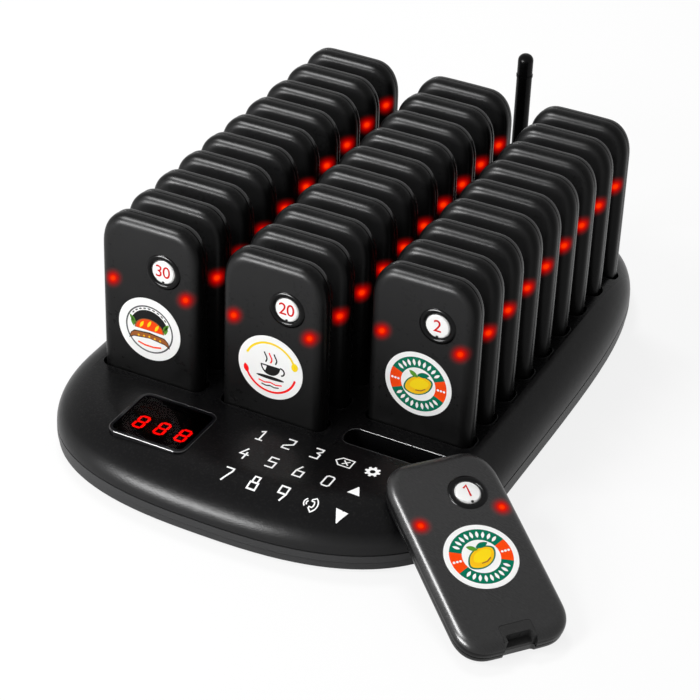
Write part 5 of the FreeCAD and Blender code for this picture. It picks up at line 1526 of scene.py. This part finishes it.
# %% Rocker marks
ROCKER_PIVOT = mm(-12.0, 143.5, 18.0)
ROCKER_TILT = math.radians(8)
ROCKER_HALF = 4.9
ROCKER_END_HIGH = 4.6
MARK_ASIDE = 2.6
mark_lift = ROCKER_END_HIGH - (ROCKER_HALF - MARK_ASIDE) * math.tan(ROCKER_TILT)
for side, name in ((-1, "off"), (1, "on")):
    marks = Sheet()
    if name == "off":
        marks.band(disc(1.15, steps=24), disc(0.8, steps=24), -0.02, 0.06, "key")
    else:
        marks.plate([(-0.2, -1.2), (0.2, -1.2), (0.2, 1.2), (-0.2, 1.2)], -0.02, 0.06, "key")
    upright = Matrix.Rotation(-math.pi / 2, 4, "X") @ Matrix.Rotation(math.pi, 4, "Z")
    facet = Matrix.Rotation(side * ROCKER_TILT, 4, "Z")
    on_facet = Matrix.Translation(mm(side * MARK_ASIDE, mark_lift, 0))
    turn = Matrix.Translation(ROCKER_PIVOT) @ Matrix.Rotation(ROCKER_TILT, 4, "Z")
    place_piece("rocker_mark_" + name, marks.mesh("rocker_mark_" + name), "power_rocker",
                turn @ on_facet @ facet @ upright)
print("rocker marks made")

# %% [markdown]
# ## Floor
# The set stands on a pale sheet. It is nearly white for the camera and in reflections, and it
# stays matt, so that it keeps a soft shadow. A pure white sheet that gave light of its own would
# be simpler, but the set would seem to float on it.

# %% Floor
FLOOR_GLOW = 0.84


def brighter_where_seen(tree, output, plain, bright, share):
    """Mixes in a bright shader for what the camera, a reflection or the window sees."""
    path = tree.nodes.new("ShaderNodeLightPath")
    mirrored = math_node(tree, "ADD", path.outputs["Is Glossy Ray"], path.outputs["Is Transmission Ray"])
    seen = math_node(tree, "ADD", path.outputs["Is Camera Ray"], mirrored)
    mix = add_node(tree, "ShaderNodeMixShader",
                   {"Fac": math_node(tree, "MULTIPLY", seen, share, clamp=True), 1: plain.outputs[0],
                    2: bright.outputs[0]})
    tree.links.new(mix.outputs[0], output.inputs["Surface"])


def floor_material():
    """Matt pale sheet."""
    material, tree, shader, place, normal = new_material("pale sheet")
    output = [node for node in tree.nodes if node.type == "OUTPUT_MATERIAL"][0]
    grain = use_group(tree, grain_group, Place=place, Bump_spacing=4.0, Cells=0.1)
    tone = blend_colour(tree, grain.outputs["Drift"], (0.91, 0.91, 0.91), (0.93, 0.93, 0.93))
    set_inputs(tree, shader, {"Base Color": tone, "Roughness": 0.9, "Specular IOR Level": 0.0})
    bright = add_node(tree, "ShaderNodeEmission", {"Color": (0.99, 0.99, 0.99, 1.0), "Strength": 1.0})
    brighter_where_seen(tree, output, shader, bright, FLOOR_GLOW)
    return material


FLOOR_HALF = 4000.0
floor_corners = [(x * FLOOR_HALF, y * FLOOR_HALF, 0.0) for x, y in ((-1, -1), (1, -1), (1, 1), (-1, 1))]
add_object("floor", new_mesh("floor", floor_corners, [(0, 1, 2, 3)], floor_material()))
print("floor is", 2 * FLOOR_HALF, "mm wide")

# %% [markdown]
# ## Light
# A pale sky and three small soft boxes fill the set from the left, from above and from low in
# front. Black plastic shows little of that: its shape is read from its highlights. So the fills
# are left out of the reflections, and two more boxes show in reflections only. One draws the line
# along the pagers' upper edges, and would leave a second streak on the cover, so it is linked to
# the pagers and the display's rim. The other, low in front, gives the sheen on the base's
# shoulder. Moving one kind then doesn't disturb the other.

# %% World
world = bpy.data.worlds.new("studio")
bpy.context.scene.world = world
world.use_nodes = True
sky = world.node_tree
sky.nodes.clear()
sky_out = sky.nodes.new("ShaderNodeOutputWorld")
dim = add_node(sky, "ShaderNodeBackground", {"Color": (1, 1, 1, 1), "Strength": 0.40})
white = add_node(sky, "ShaderNodeBackground", {"Color": (1, 1, 1, 1), "Strength": 1.0})
brighter_where_seen(sky, sky_out, dim, white, 1.0)
print("sky nodes:", len(sky.nodes))

# %% Lamps
def soft_box(name, place, target, width, height, power, fills=True):
    """Rectangular lamp aimed at a point, in metres and watts; it fills, or it only draws highlights."""
    data = bpy.data.lights.new(name, "AREA")
    data.shape = "RECTANGLE"
    data.size = width
    data.size_y = height
    data.energy = power
    aim = (Vector(target) - Vector(place)).to_track_quat("-Z", "Y")
    lamp = add_object(name, data, Matrix.Translation(place) @ aim.to_matrix().to_4x4())
    lamp.visible_diffuse = fills
    lamp.visible_glossy = not fills
    return lamp


MIDDLE = (0, 0, 0.05)
FRONT = (0, -0.1, 0.05)
SHOULDER = (0, -0.1, 0.02)
soft_box("left_fill", (-0.75, -0.75, 1.15), MIDDLE, 0.45, 0.30, 8.5)
soft_box("top_fill", (-0.55, 0.50, 1.30), MIDDLE, 0.40, 0.30, 9.5)
soft_box("low_fill", (-0.60, -1.35, 0.68), FRONT, 0.60, 0.35, 9.0)
roll_glint = soft_box("roll_glint", (-0.75, -0.75, 1.15), MIDDLE, 0.50, 0.30, 70.0, fills=False)
soft_box("shoulder_glint", (-0.66, -1.38, 0.33), SHOULDER, 0.80, 0.36, 80.0, fills=False)

catches_glint = bpy.data.collections.new("catches the roll glint")
for piece in bpy.context.scene.objects:
    if piece.type == "MESH" and (piece.name.startswith("pager_") or piece.name == "display_rim_edge"):
        catches_glint.objects.link(piece)
roll_glint.light_linking.receiver_collection = catches_glint
bpy.context.scene.view_settings.view_transform = "Standard"
print("lamps:", [light.name for light in bpy.data.lights])
